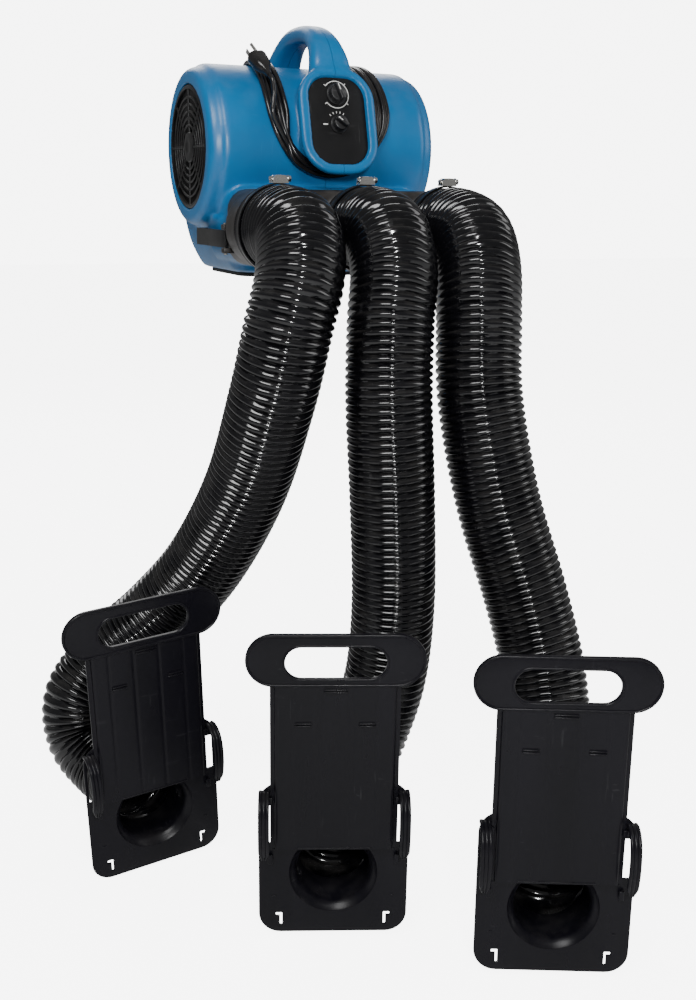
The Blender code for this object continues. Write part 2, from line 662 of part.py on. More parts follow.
def make_hose(name, neck_x, mat):
    """Flexible hose from its neck to its plate's collar."""
    plate = plate_matrix(name)
    start = [Vector((neck_x, y, MOUTH_Z)) for y in (HOSE_START_Y, -0.250, -0.282)]
    end = [plate @ Vector((0.0, y, HOLE_V)) for y in (0.088, 0.058, 0.0155)]
    curve = resample(catmull(start + [Vector(p) for p in HOSE_ROUTES[name]] + end, 8), 0.042)
    tube = hollow_tube(curve, HOSE_R, HOSE_R - HOSE_WALL, HOSE_SIDES, Vector((1.0, 0.0, 0.0)))
    add_object("hose_" + name, tube, mat)


# ---------------------------------------------------------------- mains cord

def on_drum(angle, x, reach):
    """Point at an angle up from the front, sideways place x and distance reach from the fan axis."""
    a = radians(angle)
    return Vector((x, -reach * cos(a), AXIS_Z + reach * sin(a)))


def wrap_stations(per_span):
    """Closed list of (angle, x, half width, half thickness) stations round the wrap."""
    ring = WRAP + [(a, -x, w, t) for a, x, w, t in WRAP[-2:0:-1]]
    out = []
    for i in range(len(ring)):
        a, b, c, d = (ring[(i + k) % len(ring)] for k in (-1, 0, 1, 2))
        for k in range(per_span):
            t = k / per_span
            out.append(tuple(0.5 * (2 * q + (r - p) * t + (2 * p - 5 * q + 4 * r - s) * t * t
                                    + (3 * q - p - 3 * r + s) * t ** 3)
                             for p, q, r, s in zip(a, b, c, d)))
    return out


def make_cord_coil(mat):
    """Outer shape of the wound cord: one closed band round boss and handle."""
    ring = wrap_stations(3)
    loops = []
    for i, (angle, x, wide, thick) in enumerate(ring):
        reach = BODY_R + 0.0004 + thick
        here = on_drum(angle, x, reach)
        ahead = on_drum(*ring[(i + 1) % len(ring)][:2], reach) - on_drum(*ring[i - 1][:2], reach)
        out = on_drum(angle, 0.0, 1.0) - on_drum(angle, 0.0, 0.0)
        ahead = (ahead - out * ahead.dot(out)).normalized()
        side = out.cross(ahead)
        loops.append([here + side * (p * wide) + out * (q * thick) for p, q in circle(1.0, 8, phase=pi / 8)])
    add_object("power_cord_coil", loft(loops, ring=True), mat)


def plug_matrix():
    """Plug frame: z from the cord end to the blades, y away from the housing."""
    spot = on_drum(52, -0.092, 0.1435)
    out = (on_drum(52, 0.0, 1.0) - on_drum(52, 0.0, 0.0)).normalized()
    ahead = (on_drum(70, -0.099, 0.1435) - on_drum(34, -0.085, 0.1435))
    ahead = (ahead - out * ahead.dot(out)).normalized()
    return Matrix.Translation(spot) @ Matrix((out.cross(ahead), out, ahead)).transposed().to_4x4()


def make_plug(mat_body, mat_metal):
    """Moulded three-pin plug tucked on the wound cord."""
    place = plug_matrix()
    sections = ((-0.030, 0.008, 0.008), (-0.020, 0.010, 0.010), (-0.012, 0.020, 0.015),
                (-0.004, 0.025, 0.018), (0.012, 0.027, 0.020), (0.016, 0.027, 0.020))
    loops = [along_z(rounded_rect(w, h, 0.42 * h, 3), z) for z, w, h in sections]
    add_object("power_plug_body", moved(loft(loops), place), mat_body)
    for name, x in (("a", -0.0064), ("b", 0.0064)):
        blade = box((x - 0.0008, -0.0058, 0.0163), (x + 0.0008, 0.0005, 0.034))
        add_object("power_plug_blade_" + name, moved(blade, place), mat_metal)
    pin = loft([along_z(circle(0.0024, 12, 0.0, 0.0060), z) for z in (0.0163, 0.036)])
    add_object("power_plug_ground_pin", moved(pin, place), mat_metal)


def make_cord_ends(mat, mat_relief):
    """Cord gland, the lead into the wrap, and the tail out of it to the plug."""
    sections = ((0.1090, 0.0070), (0.1200, 0.0070), (0.1202, 0.0100), (0.1240, 0.0100),
                (0.1242, 0.0065), (0.1460, 0.0048))
    relief = loft([along_y(circle(r, 16, 0.070, 0.196), y) for y, r in sections])
    add_object("cord_strain_relief", relief, mat_relief)
    lead = [(0.070, 0.1468, 0.196), (0.070, 0.153, 0.196), (0.070, 0.160, 0.1985), (0.068, 0.167, 0.208), (0.063, 0.168, 0.221),
            (0.055, 0.160, 0.234), (0.047, 0.147, 0.243), (0.038, 0.1395, 0.2455)]
    cord_piece("power_cord_lead", resample(catmull(lead, 6), 0.006), CORD_R, mat)
    place = plug_matrix()
    tail = [place @ Vector((0.0, 0.0, z)) for z in (-0.0308, -0.0350, -0.0390)]
    tail += [on_drum(30, -0.0815, 0.1415), on_drum(24, -0.0790, 0.1385), on_drum(17, -0.0755, 0.1375),
             on_drum(10, -0.0715, 0.1375)]
    cord_piece("power_cord_tail", resample(catmull(tail, 6), 0.006), CORD_R, mat)


# ---------------------------------------------------------------- assembly

def main():
    """Builds every piece."""
    clear_scene()
    blue = make_material("moulded_blue", (0.012, 0.205, 0.440), 0.42)
    black = make_material("black_plastic", (0.018, 0.018, 0.019), 0.45)
    brown_black = make_material("manifold_black", (0.030, 0.027, 0.026), 0.50)
    panel = make_material("panel_black", (0.012, 0.012, 0.013), 0.55)
    gloss = make_material("plate_black", (0.010, 0.010, 0.013), 0.25)
    hose = make_material("hose_black", (0.008, 0.008, 0.010), 0.15)
    cord = make_material("cord_black", (0.010, 0.009, 0.009), 0.30)
    rubber = make_material("rubber_black", (0.020, 0.020, 0.020), 0.80)
    steel = make_material("bright_steel", (0.70, 0.69, 0.66), 0.25, 1.0)
    grey = make_material("motor_grey", (0.22, 0.23, 0.24), 0.50, 0.6)
    white = make_material("wheel_grey", (0.30, 0.31, 0.32), 0.45)

    make_housing(blue)
    make_base_pad(rubber)
    make_grilles(black)
    make_motor(grey, steel, steel, black)
    make_wheels(white)
    make_controls(panel, black, white)
    make_manifold(brown_black)
    make_seal(rubber)
    make_latches(brown_black, steel, black)
    make_neck_clamps(steel, steel)
    for name, x in zip(("left", "middle", "right"), NECK_X):
        make_hose(name, x, hose)
        make_plate_clamp(name, steel, steel)
        make_bracket(name, gloss)
        make_gate(name, gloss)
    make_cord_coil(cord)
    make_cord_ends(cord, black)
    make_plug(cord, steel)


main()
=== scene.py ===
"""Looks of the three-hose blower dryer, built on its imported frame.

Metres, the frame's own axes: X along the fan shaft, the front towards -Y, Z up.
"""
import json
from math import atan2, cos, pi, radians, sin

import bmesh
import bpy
import numpy as np
from mathutils import Matrix

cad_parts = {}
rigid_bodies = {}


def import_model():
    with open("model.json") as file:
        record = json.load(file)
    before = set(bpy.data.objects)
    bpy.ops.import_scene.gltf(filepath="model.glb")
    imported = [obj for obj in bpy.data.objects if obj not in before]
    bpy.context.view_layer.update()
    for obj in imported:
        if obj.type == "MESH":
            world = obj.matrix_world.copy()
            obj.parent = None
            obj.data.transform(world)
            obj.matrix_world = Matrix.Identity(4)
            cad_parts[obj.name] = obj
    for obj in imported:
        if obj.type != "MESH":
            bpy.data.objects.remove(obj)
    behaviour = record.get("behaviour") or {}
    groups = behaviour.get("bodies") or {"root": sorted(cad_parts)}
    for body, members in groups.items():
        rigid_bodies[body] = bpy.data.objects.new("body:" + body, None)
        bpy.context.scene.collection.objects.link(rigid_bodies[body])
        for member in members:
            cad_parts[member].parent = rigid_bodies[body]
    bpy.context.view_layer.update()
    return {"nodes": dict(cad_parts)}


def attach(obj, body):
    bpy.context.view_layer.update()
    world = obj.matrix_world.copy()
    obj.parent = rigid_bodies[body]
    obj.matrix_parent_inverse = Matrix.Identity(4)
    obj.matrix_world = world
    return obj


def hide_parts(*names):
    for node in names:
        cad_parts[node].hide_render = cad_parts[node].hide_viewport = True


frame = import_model()

AXIS_Z = 0.182
BODY_R = 0.117
MOUTH_Z = 0.072
FLOOR_Z = -0.790
NECKS = {"left": -0.125, "middle": 0.0, "right": 0.125}
NECK_CLAMP_Y = -0.245
HOSE_START_Y = -0.222
HOSE_CREST = 0.0566
HOSE_VALLEY = 0.0516
HOSE_PITCH = 0.0098
HOLE_V = 0.084
CORD_R = 0.0035
CORD_EXIT = (0.070, 0.146, 0.196)
BOSS_TILT = radians(15)
BOSS_FACE = (0.0, -0.156, 0.219)
TIMER_V = 0.037
SPEED_V = -0.005

PLATES = {
    "left": ((-0.325, -0.300, -0.784), 5.0, -5.0, 4.0),
    "middle": ((-0.170, -0.549, -0.779), -22.0, -2.0, 0.0),
    "right": ((0.037, -0.724, -0.779), -25.5, 0.0, 0.0),
}
HOSE_ROUTES = {
    "left": [(-0.128, -0.325, 0.062), (-0.142, -0.362, 0.018), (-0.160, -0.368, -0.045),
             (-0.172, -0.342, -0.138), (-0.186, -0.276, -0.268), (-0.222, -0.204, -0.390),
             (-0.276, -0.152, -0.476), (-0.336, -0.122, -0.538), (-0.382, -0.114, -0.600),
             (-0.384, -0.128, -0.656), (-0.358, -0.170, -0.690)],
    "middle": [(-0.004, -0.326, 0.062), (-0.014, -0.366, 0.022), (-0.028, -0.388, -0.040),
               (-0.034, -0.400, -0.135), (-0.025, -0.398, -0.269), (-0.016, -0.390, -0.409),
               (-0.018, -0.377, -0.520), (-0.040, -0.372, -0.600), (-0.082, -0.392, -0.662)],
    "right": [(0.121, -0.328, 0.060), (0.108, -0.370, 0.022), (0.095, -0.398, -0.040),
              (0.090, -0.418, -0.140), (0.110, -0.440, -0.272), (0.142, -0.470, -0.400),
              (0.158, -0.500, -0.505), (0.150, -0.534, -0.595), (0.124, -0.580, -0.662)],
}
# cord wrap, one half: angle up from the front, sideways place, half width, half thickness
WRAP = [(-15, 0.000, 0.0095, 0.0095), (-13, 0.027, 0.0095, 0.0090), (-6, 0.054, 0.0100, 0.0085),
        (8, 0.070, 0.0140, 0.0075), (25, 0.076, 0.0165, 0.0075), (45, 0.077, 0.0165, 0.0075),
        (65, 0.075, 0.0165, 0.0075), (85, 0.070, 0.0160, 0.0075), (105, 0.064, 0.0150, 0.0080),
        (125, 0.056, 0.0130, 0.0085), (142, 0.048, 0.0100, 0.0095), (151, 0.026, 0.0095, 0.0095),
        (154, 0.000, 0.0095, 0.0095)]


# ---------------------------------------------------------------- surfaces

def outward(points, quads, tris):
    """Shell whose faces look out: they are turned round where the volume, the sum of each
    triangle's box product over six, is negative."""
    fans = np.vstack([quads[:, [0, 1, 2]], quads[:, [0, 2, 3]], tris])
    a, b, c = (points[fans[:, k]] for k in range(3))
    volume = np.einsum("ij,ij->i", a - points.mean(0), np.cross(b - a, c - a)).sum()
    if volume < 0:
        return points, quads[:, ::-1], tris[:, ::-1]
    return points, quads, tris


def grid(rows, ring=False):
    """Closed shell over a rows x columns x 3 grid: each row joins round; the last row joins the
    first where ring, else a fan to its middle closes each end."""
    rows = np.asarray(rows, float)
    count, across = rows.shape[:2]
    index = np.arange(count * across).reshape(count, across)
    beside = np.roll(index, -1, axis=1)
    after, after_beside = np.roll(index, -1, axis=0), np.roll(beside, -1, axis=0)
    last = count if ring else count - 1
    quads = np.stack([index, beside, after_beside, after], -1)[:last].reshape(-1, 4)
    points = rows.reshape(-1, 3)
    tris = np.empty((0, 3), int)
    if not ring:
        points = np.vstack([points, rows[0].mean(0), rows[-1].mean(0)])
        near = np.stack([beside[0], index[0], np.full(across, count * across)], -1)
        far = np.stack([index[-1], beside[-1], np.full(across, count * across + 1)], -1)
        tris = np.vstack([near, far])
    return outward(points, quads, tris)


def ribbon_grid(rows):
    """Closed shell whose rows are outlines of a thin bent sheet: point i faces point -1 - i
    across the sheet, and strips between them close both ends."""
    rows = np.asarray(rows, float)
    count, across = rows.shape[:2]
    index = np.arange(count * across).reshape(count, across)
    beside = np.roll(index, -1, axis=1)
    sides = np.stack([index[:-1], beside[:-1], beside[1:], index[1:]], -1).reshape(-1, 4)
    i = np.arange(across // 2 - 1)
    near = np.stack([i + 1, i, across - 1 - i, across - 2 - i], -1)
    far = near[:, ::-1] + (count - 1) * across
    return outward(rows.reshape(-1, 3), np.vstack([sides, near, far]), np.empty((0, 3), int))


def mesh_object(name, shells, material, sharp=35.0):
    """Object made of the shells, smooth but for edges sharper than the given degrees."""
    start, points, loops, totals = 0, [], [], []
    for at, quads, tris in shells:
        points.append(at)
        loops += [(quads + start).ravel(), (tris + start).ravel()]
        totals += [np.full(len(quads), 4), np.full(len(tris), 3)]
        start += len(at)
    points, loops, totals = (np.concatenate(part) for part in (points, loops, totals))
    mesh = bpy.data.meshes.new(name)
    mesh.vertices.add(len(points))
    mesh.vertices.foreach_set("co", points.astype(np.float32).ravel())
    mesh.loops.add(len(loops))
    mesh.loops.foreach_set("vertex_index", loops.astype(np.int32))
    mesh.polygons.add(len(totals))
    mesh.polygons.foreach_set("loop_start", (np.cumsum(totals) - totals).astype(np.int32))
    mesh.update(calc_edges=True)
    mesh.validate()
    return finished(linked(name, mesh), material, sharp)


def linked(name, data):
    """Object with the data, shown in the scene."""
    obj = bpy.data.objects.new(name, data)
    bpy.context.scene.collection.objects.link(obj)
    return obj


def finished(obj, material, sharp=35.0):
    """Gives the mesh its material, smooth faces and crisp sharp edges."""
    mesh = obj.data
    mesh.materials.clear()
    if material is not None:
        mesh.materials.append(material)
    mesh.polygons.foreach_set("use_smooth", np.ones(len(mesh.polygons), bool))
    mesh.set_sharp_from_angle(angle=radians(sharp))
    mesh.update()
    return obj


def placed(matrix, points):
    """Points turned and moved by a 4 x 4 matrix."""
    matrix = np.array(matrix)
    return np.asarray(points) @ matrix[:3, :3].T + matrix[:3, 3]


def moved(matrix, shells):
    """Shells turned and moved by a 4 x 4 matrix."""
    return [(placed(matrix, points), quads, tris) for points, quads, tris in shells]


def smooth_path(points, per_span):
    """Catmull-Rom curve through the points: each span is the cubic whose end slopes are half the
    chord between the neighbours."""
    p = np.asarray(points, float)
    p = np.vstack([2 * p[0] - p[1], p, 2 * p[-1] - p[-2]])
    a, b, c, d = (q[:, None] for q in (p[:-3], p[1:-2], p[2:-1], p[3:]))
    t = (np.arange(per_span) / per_span)[None, :, None]
    curve = 0.5 * (2 * b + (c - a) * t + (2 * a - 5 * b + 4 * c - d) * t ** 2
                   + (3 * b - a - 3 * c + d) * t ** 3)
    return np.vstack([curve.reshape(-1, p.shape[1]), p[-2:-1]])


def run_length(curve):
    """Distance along the curve at each of its points."""
    steps = np.linalg.norm(np.diff(curve, axis=0), axis=1)
    return np.concatenate([[0.0], np.cumsum(steps)])


def even(curve, step):
    """The curve again with points an equal distance apart, near the step."""
    along = run_length(curve)
    want = np.linspace(0.0, along[-1], max(3, round(along[-1] / step) + 1))
    return np.stack([np.interp(want, along, curve[:, k]) for k in range(curve.shape[1])], -1)


def unit(vectors):
    """Vectors scaled to length one."""
    return vectors / np.linalg.norm(vectors, axis=-1, keepdims=True)


def across_path(line, side):
    """Two unit directions square to the path: the given side less its part along the path, and
    the cross product of the path's direction and that."""
    ahead = unit(np.gradient(line, axis=0))
    side = np.broadcast_to(np.asarray(side, float), line.shape)
    side = unit(side - ahead * np.einsum("ij,ij->i", side, ahead)[:, None])
    return side, np.cross(ahead, side)


def tube(line, radius, count, side=(1.0, 0.0, 0.0)):
    """Round section of the given radius, one number or one for each point, carried along a path."""
    angle = np.linspace(0, 2 * pi, count, endpoint=False)[None, :, None]
    u, v = across_path(line, side)
    radius = np.broadcast_to(np.asarray(radius, float), len(line))[:, None, None]
    return line[:, None] + radius * (u[:, None] * np.cos(angle) + v[:, None] * np.sin(angle))


def turned(profile, count):
    """Rows of a shape turned about X: the point at (x, r) goes to (x, -r cos a, r sin a)."""
    profile = np.asarray(profile, float)
    angle = np.linspace(0, 2 * pi, count, endpoint=False)[None]
    x, r = profile[:, :1], profile[:, 1:]
    return np.stack([x + 0 * angle, -r * np.cos(angle), r * np.sin(angle)], -1)


def rounded_rect(width, height, radius, steps=6, cx=0.0, cy=0.0):
    """Outline of a rectangle with quarter circles at its corners."""
    radius = min(radius, width / 2 - 1e-5, height / 2 - 1e-5)
    angle = np.linspace(0, pi / 2, steps + 1)
    parts = []
    for sx, sy, start in ((1, 1, 0.0), (-1, 1, 0.5), (-1, -1, 1.0), (1, -1, 1.5)):
        turn = angle + start * pi
        parts.append(np.stack([cx + sx * (width / 2 - radius) + radius * np.cos(turn),
                               cy + sy * (height / 2 - radius) + radius * np.sin(turn)], -1))
    return np.concatenate(parts)


def lift(outline, axis, level):
    """Outline set at one level of an axis: the other two axes keep their order."""
    return np.insert(outline, axis, level, axis=1)


def prism(outline, axis, low, high):
    """Straight bar with the outline as its section, between two levels of an axis."""
    return grid([lift(outline, axis, level) for level in (low, high)])


def slab(outline_of, low, high, axis, edge):
    """Plate between two levels with rounded rims: the outline shrinks by edge (1 - sin t) while
    the level moves by edge (1 - cos t), t from nought to a right angle."""
    t = np.linspace(0, pi / 2, 4)
    inset, rise = edge * (1 - np.sin(t)), edge * (1 - np.cos(t))
    rows = [lift(outline_of(i), axis, low + r) for i, r in zip(inset, rise)]
    rows += [lift(outline_of(i), axis, high - r) for i, r in zip(inset[::-1], rise[::-1])]
    return grid(rows)


def rounded_slab(width, height, corner, low, high, axis, edge, cx=0.0, cy=0.0, steps=6):
    """Rounded rectangle plate with rounded rims."""
    def outline(inset):
        return rounded_rect(width - 2 * inset, height - 2 * inset, corner - inset, steps, cx, cy)
    return slab(outline, low, high, axis, edge)


def block(low, high, edge):
    """Small block with rounded corners and rims, its plates stacked along Z."""
    low, high = np.minimum(low, high), np.maximum(low, high)
    size, middle = high - low, (low + high) / 2
    return rounded_slab(size[0], size[1], 1.5 * edge, low[2], high[2], 2, edge, middle[0], middle[1], 3)


def combine(obj, shells, operation):
    """Applies one exact boolean of the shells to the object."""
    tool = mesh_object("tool", shells, None)
    mod = obj.modifiers.new("cut", "BOOLEAN")
    mod.operation, mod.solver, mod.object = operation, "EXACT", tool
    apply_modifiers(obj)
    bpy.data.objects.remove(tool)


def apply_modifiers(obj):
    """Turns the modified shape into the object's own mesh."""
    graph = bpy.context.evaluated_depsgraph_get()
    mesh = bpy.data.meshes.new_from_object(obj.evaluated_get(graph))
    obj.modifiers.clear()
    obj.data = mesh
    obj.data.name = obj.name


def vertex_points(obj):
    """The mesh's points as an array."""
    points = np.empty(3 * len(obj.data.vertices), np.float32)
    obj.data.vertices.foreach_get("co", points)
    return points.reshape(-1, 3).astype(float)


def step_up(value, low, high):
    """Smooth rise from 0 at low to 1 at high."""
    t = np.clip((value - low) / (high - low), 0.0, 1.0)
    return t * t * (3 - 2 * t)


# ---------------------------------------------------------------- shared shading groups

def node_group(name, inputs, output):
    """Empty shader group with number inputs and one number output, and a maker of its nodes."""
    group = bpy.data.node_groups.new(name, "ShaderNodeTree")
    for label, value in inputs:
        socket = group.interface.new_socket(name=label, in_out="INPUT", socket_type="NodeSocketFloat")
        socket.default_value = value
    group.interface.new_socket(name=output, in_out="OUTPUT", socket_type="NodeSocketFloat")
    return group, group.nodes.new("NodeGroupInput"), group.nodes.new("NodeGroupOutput")


def math_node(tree, operation, first, second):
    """Math node on two links or numbers."""
    node = tree.nodes.new("ShaderNodeMath")
    node.operation = operation
    for slot, value in enumerate((first, second)):
        if isinstance(value, (int, float)):
            node.inputs[slot].default_value = value
        else:
            tree.links.new(value, node.inputs[slot])
    return node.outputs[0]


def noise_value(tree, coords, scale, detail=3.0, stretch=None):
    """Noise pattern on object coordinates, squeezed along the axes by stretch."""
    if stretch is not None:
        mapping = tree.nodes.new("ShaderNodeMapping")
        mapping.inputs["Scale"].default_value = stretch
        tree.links.new(coords, mapping.inputs["Vector"])
        coords = mapping.outputs["Vector"]
    noise = tree.nodes.new("ShaderNodeTexNoise")
    noise.inputs["Detail"].default_value = detail
    tree.links.new(coords, noise.inputs["Vector"])
    if isinstance(scale, (int, float)):
        noise.inputs["Scale"].default_value = scale
    else:
        tree.links.new(scale, noise.inputs["Scale"])
    return noise.outputs["Fac"]


def ramp(tree, value, low, high):
    """Value spread from 0 at low to 1 at high."""
    node = tree.nodes.new("ShaderNodeMapRange")
    node.interpolation_type = "SMOOTHSTEP"
    node.inputs["From Min"].default_value = low
    node.inputs["From Max"].default_value = high
    tree.links.new(value, node.inputs["Value"])
    return node.outputs["Result"]


def object_coords(tree):
    """Object coordinates."""
    return tree.nodes.new("ShaderNodeTexCoord").outputs["Object"]


def make_moulded_grain():
    """Fine pebbling of moulded plastic with a slow swell under it."""
    group, given, out = node_group("moulded_grain", (("Scale", 900.0), ("Swell", 0.3)), "Height")
    coords = object_coords(group)
    fine = noise_value(group, coords, given.outputs["Scale"], 2.0)
    slow = noise_value(group, coords, 24.0, 2.0)
    group.links.new(math_node(group, "ADD", fine, math_node(group, "MULTIPLY", slow, given.outputs["Swell"])),
                    out.inputs["Height"])
    return group


def make_settled_dust():
    """Patchy dust on faces that look up."""
    group, given, out = node_group("settled_dust", (("Amount", 0.2),), "Mask")
    split = group.nodes.new("ShaderNodeSeparateXYZ")
    group.links.new(group.nodes.new("ShaderNodeNewGeometry").outputs["Normal"], split.inputs[0])
    up = ramp(group, split.outputs["Z"], 0.1, 1.0)
    patches = ramp(group, noise_value(group, object_coords(group), 38.0, 6.0), 0.38, 0.72)
    both = math_node(group, "MULTIPLY", up, patches)
    group.links.new(math_node(group, "MULTIPLY", both, given.outputs["Amount"]), out.inputs["Mask"])
    return group


def make_handling_scuffs():
    """Thin, short rub marks where two stretched patterns meet."""
    group, given, out = node_group("handling_scuffs", (("Amount", 0.3), ("Scale", 1.0)), "Mask")
    coords = object_coords(group)
    streak = noise_value(group, coords, 210.0, 2.0, (1.0, 0.22, 0.10))
    cross = noise_value(group, coords, 180.0, 2.0, (0.12, 0.7, 1.0))
    patch = noise_value(group, coords, math_node(group, "MULTIPLY", given.outputs["Scale"], 17.0), 3.0)
    lines = math_node(group, "MAXIMUM", ramp(group, streak, 0.64, 0.72), ramp(group, cross, 0.66, 0.74))
    where = math_node(group, "MULTIPLY", lines, ramp(group, patch, 0.5, 0.66))
    group.links.new(math_node(group, "MULTIPLY", where, given.outputs["Amount"]), out.inputs["Mask"])
    return group


GRAIN = make_moulded_grain()
DUST = make_settled_dust()
SCUFFS = make_handling_scuffs()


def placed_group(tree, group, **values):
    """The group in a material with its own input values."""
    node = tree.nodes.new("ShaderNodeGroup")
    node.node_tree = group
    for label, value in values.items():
        node.inputs[label].default_value = value
    return node.outputs[0]


def mix_colour(tree, factor, first, second):
    """Colour mix of two links or RGB values."""
    node = tree.nodes.new("ShaderNodeMix")
    node.data_type = "RGBA"
    tree.links.new(factor, node.inputs[0])
    for slot, value in ((6, first), (7, second)):
        if isinstance(value, tuple):
            node.inputs[slot].default_value = (*value, 1.0)
        else:
            tree.links.new(value, node.inputs[slot])
    return node.outputs[2]


def finish_material(name, colour, tint, roughness, grain, bump, scuffs=0.2, dust=0.1, metallic=0.0,
                    sheet=None, spread=0.08, specular=0.5, rub=(0.30, 0.30, 0.31)):
    """Plastic or metal: two close tones, grain, rub marks and settled dust."""
    mat = bpy.data.materials.new(name)
    mat.use_nodes = True
    tree = mat.node_tree
    shader = tree.nodes["Principled BSDF"]
    coords = object_coords(tree)
    tone = ramp(tree, noise_value(tree, coords, 11.0, 4.0, sheet), 0.30, 0.70)
    base = mix_colour(tree, tone, colour, tint)
    worn = placed_group(tree, SCUFFS, Amount=scuffs)
    base = mix_colour(tree, worn, base, rub)
    dusty = placed_group(tree, DUST, Amount=dust)
    base = mix_colour(tree, dusty, base, (0.42, 0.40, 0.37))
    tree.links.new(base, shader.inputs["Base Color"])
    rough = math_node(tree, "MULTIPLY", noise_value(tree, coords, 60.0, 4.0, sheet), 2 * spread)
    rough = math_node(tree, "ADD", rough, roughness - spread)
    rough = math_node(tree, "ADD", rough, math_node(tree, "MULTIPLY", worn, 0.25))
    rough = math_node(tree, "ADD", rough, math_node(tree, "MULTIPLY", dusty, 0.40))
    tree.links.new(rough, shader.inputs["Roughness"])
    shader.inputs["Metallic"].default_value = metallic
    shader.inputs["Specular IOR Level"].default_value = specular
    bump_node = tree.nodes.new("ShaderNodeBump")
    bump_node.inputs["Strength"].default_value = bump
    bump_node.inputs["Distance"].default_value = 0.0004
    tree.links.new(placed_group(tree, GRAIN, Scale=grain), bump_node.inputs["Height"])
    tree.links.new(bump_node.outputs["Normal"], shader.inputs["Normal"])
    return mat


BLUE = finish_material("moulded_blue", (0.0030, 0.118, 0.300), (0.0042, 0.136, 0.340), 0.36, 700.0, 0.10,
                       scuffs=0.10, dust=0.05, rub=(0.06, 0.26, 0.46))
HOSE = finish_material("hose_black", (0.0016, 0.0016, 0.0022), (0.0028, 0.0028, 0.0038), 0.12, 500.0, 0.05,
                       scuffs=0.05, dust=0.04, spread=0.05)
PLATE = finish_material("plate_black", (0.0028, 0.0027, 0.0042), (0.0048, 0.0045, 0.0068), 0.30, 1100.0, 0.08,
                        specular=0.17, scuffs=0.03, dust=0.02, sheet=(1.0, 1.0, 0.15))
MANIFOLD = finish_material("manifold_brown_black", (0.0105, 0.0085, 0.0078), (0.016, 0.0135, 0.0125), 0.42,
                           900.0, 0.12, scuffs=0.12, dust=0.10)
PANEL = finish_material("panel_black", (0.004, 0.004, 0.0045), (0.006, 0.006, 0.0065), 0.48, 1500.0, 0.15,
                        specular=0.20, scuffs=0.05, dust=0.05)
KNOB = finish_material("knob_black", (0.010, 0.010, 0.011), (0.016, 0.016, 0.017), 0.34, 1500.0, 0.08,
                       scuffs=0.10, dust=0.05)
GUARD = finish_material("guard_black", (0.003, 0.003, 0.0033), (0.005, 0.005, 0.0055), 0.36, 1000.0, 0.10,
                        specular=0.35, scuffs=0.06, dust=0.05)
CORD = finish_material("cord_black", (0.006, 0.0055, 0.0055), (0.010, 0.009, 0.009), 0.24, 700.0, 0.06,
                       scuffs=0.06, dust=0.04, spread=0.05)
RUBBER = finish_material("rubber_black", (0.018, 0.018, 0.018), (0.026, 0.025, 0.024), 0.78, 600.0, 0.30,
                         scuffs=0.15, dust=0.15)
STEEL = finish_material("bright_steel", (0.62, 0.61, 0.58), (0.72, 0.71, 0.68), 0.24, 900.0, 0.06,
                        scuffs=0.25, dust=0.05, metallic=1.0, rub=(0.40, 0.39, 0.37))
STRAP = finish_material("strap_blackened", (0.035, 0.035, 0.037), (0.060, 0.060, 0.062), 0.30, 900.0, 0.06,
                        scuffs=0.30, dust=0.05, metallic=0.8, rub=(0.30, 0.30, 0.30))
MOTOR = finish_material("motor_grey", (0.16, 0.17, 0.18), (0.22, 0.23, 0.24), 0.50, 500.0, 0.20,
                        scuffs=0.20, dust=0.30, metallic=0.5)
WHEEL = finish_material("wheel_grey", (0.010, 0.0105, 0.011), (0.016, 0.0165, 0.0175), 0.50, 700.0, 0.15,
                        scuffs=0.10, dust=0.30)
PRINT = finish_material("dial_print_white", (0.70, 0.70, 0.68), (0.80, 0.80, 0.78), 0.55, 1500.0, 0.05,
                        scuffs=0.05, dust=0.0, rub=(0.50, 0.50, 0.49))


# ---------------------------------------------------------------- camera, lights and floor

def make_camera():
    """Camera in front, to the left and a little above, looking down at the plates."""
    yaw, pitch, roll = radians(24.31), radians(-14.26), radians(0.80)
    ahead = np.array([sin(yaw) * cos(pitch), cos(yaw) * cos(pitch), sin(pitch)])
    right = np.array([cos(yaw), -sin(yaw), 0.0])
    up = np.cross(right, ahead)
    axes = np.stack([cos(roll) * right + sin(roll) * up, cos(roll) * up - sin(roll) * right, -ahead], -1)
    matrix = np.eye(4)
    matrix[:3, :3] = axes
    matrix[:3, 3] = (-0.705, -1.7625, 0.117)
    data = bpy.data.cameras.new("camera")
    data.sensor_fit, data.sensor_width, data.sensor_height = "AUTO", 36.0, 36.0
    data.lens = 43.16
    obj = linked("camera", data)
    obj.matrix_world = Matrix(matrix.tolist())
    bpy.context.scene.camera = obj


def soft_light(name, place, target, size, power, colour=(1.0, 1.0, 1.0)):
    """Square soft light that looks at a point."""
    data = bpy.data.lights.new(name, "AREA")
    data.shape, data.size, data.size_y = "RECTANGLE", size[0], size[1]
    data.energy, data.color = power, colour
    obj = linked(name, data)
    away = unit(np.array(place, float) - np.array(target, float))
    right = unit(np.cross([0.0, 0.0, 1.0], away))
    matrix = np.eye(4)
    matrix[:3, :3] = np.stack([right, np.cross(away, right), away], -1)
    matrix[:3, 3] = place
    obj.matrix_world = Matrix(matrix.tolist())


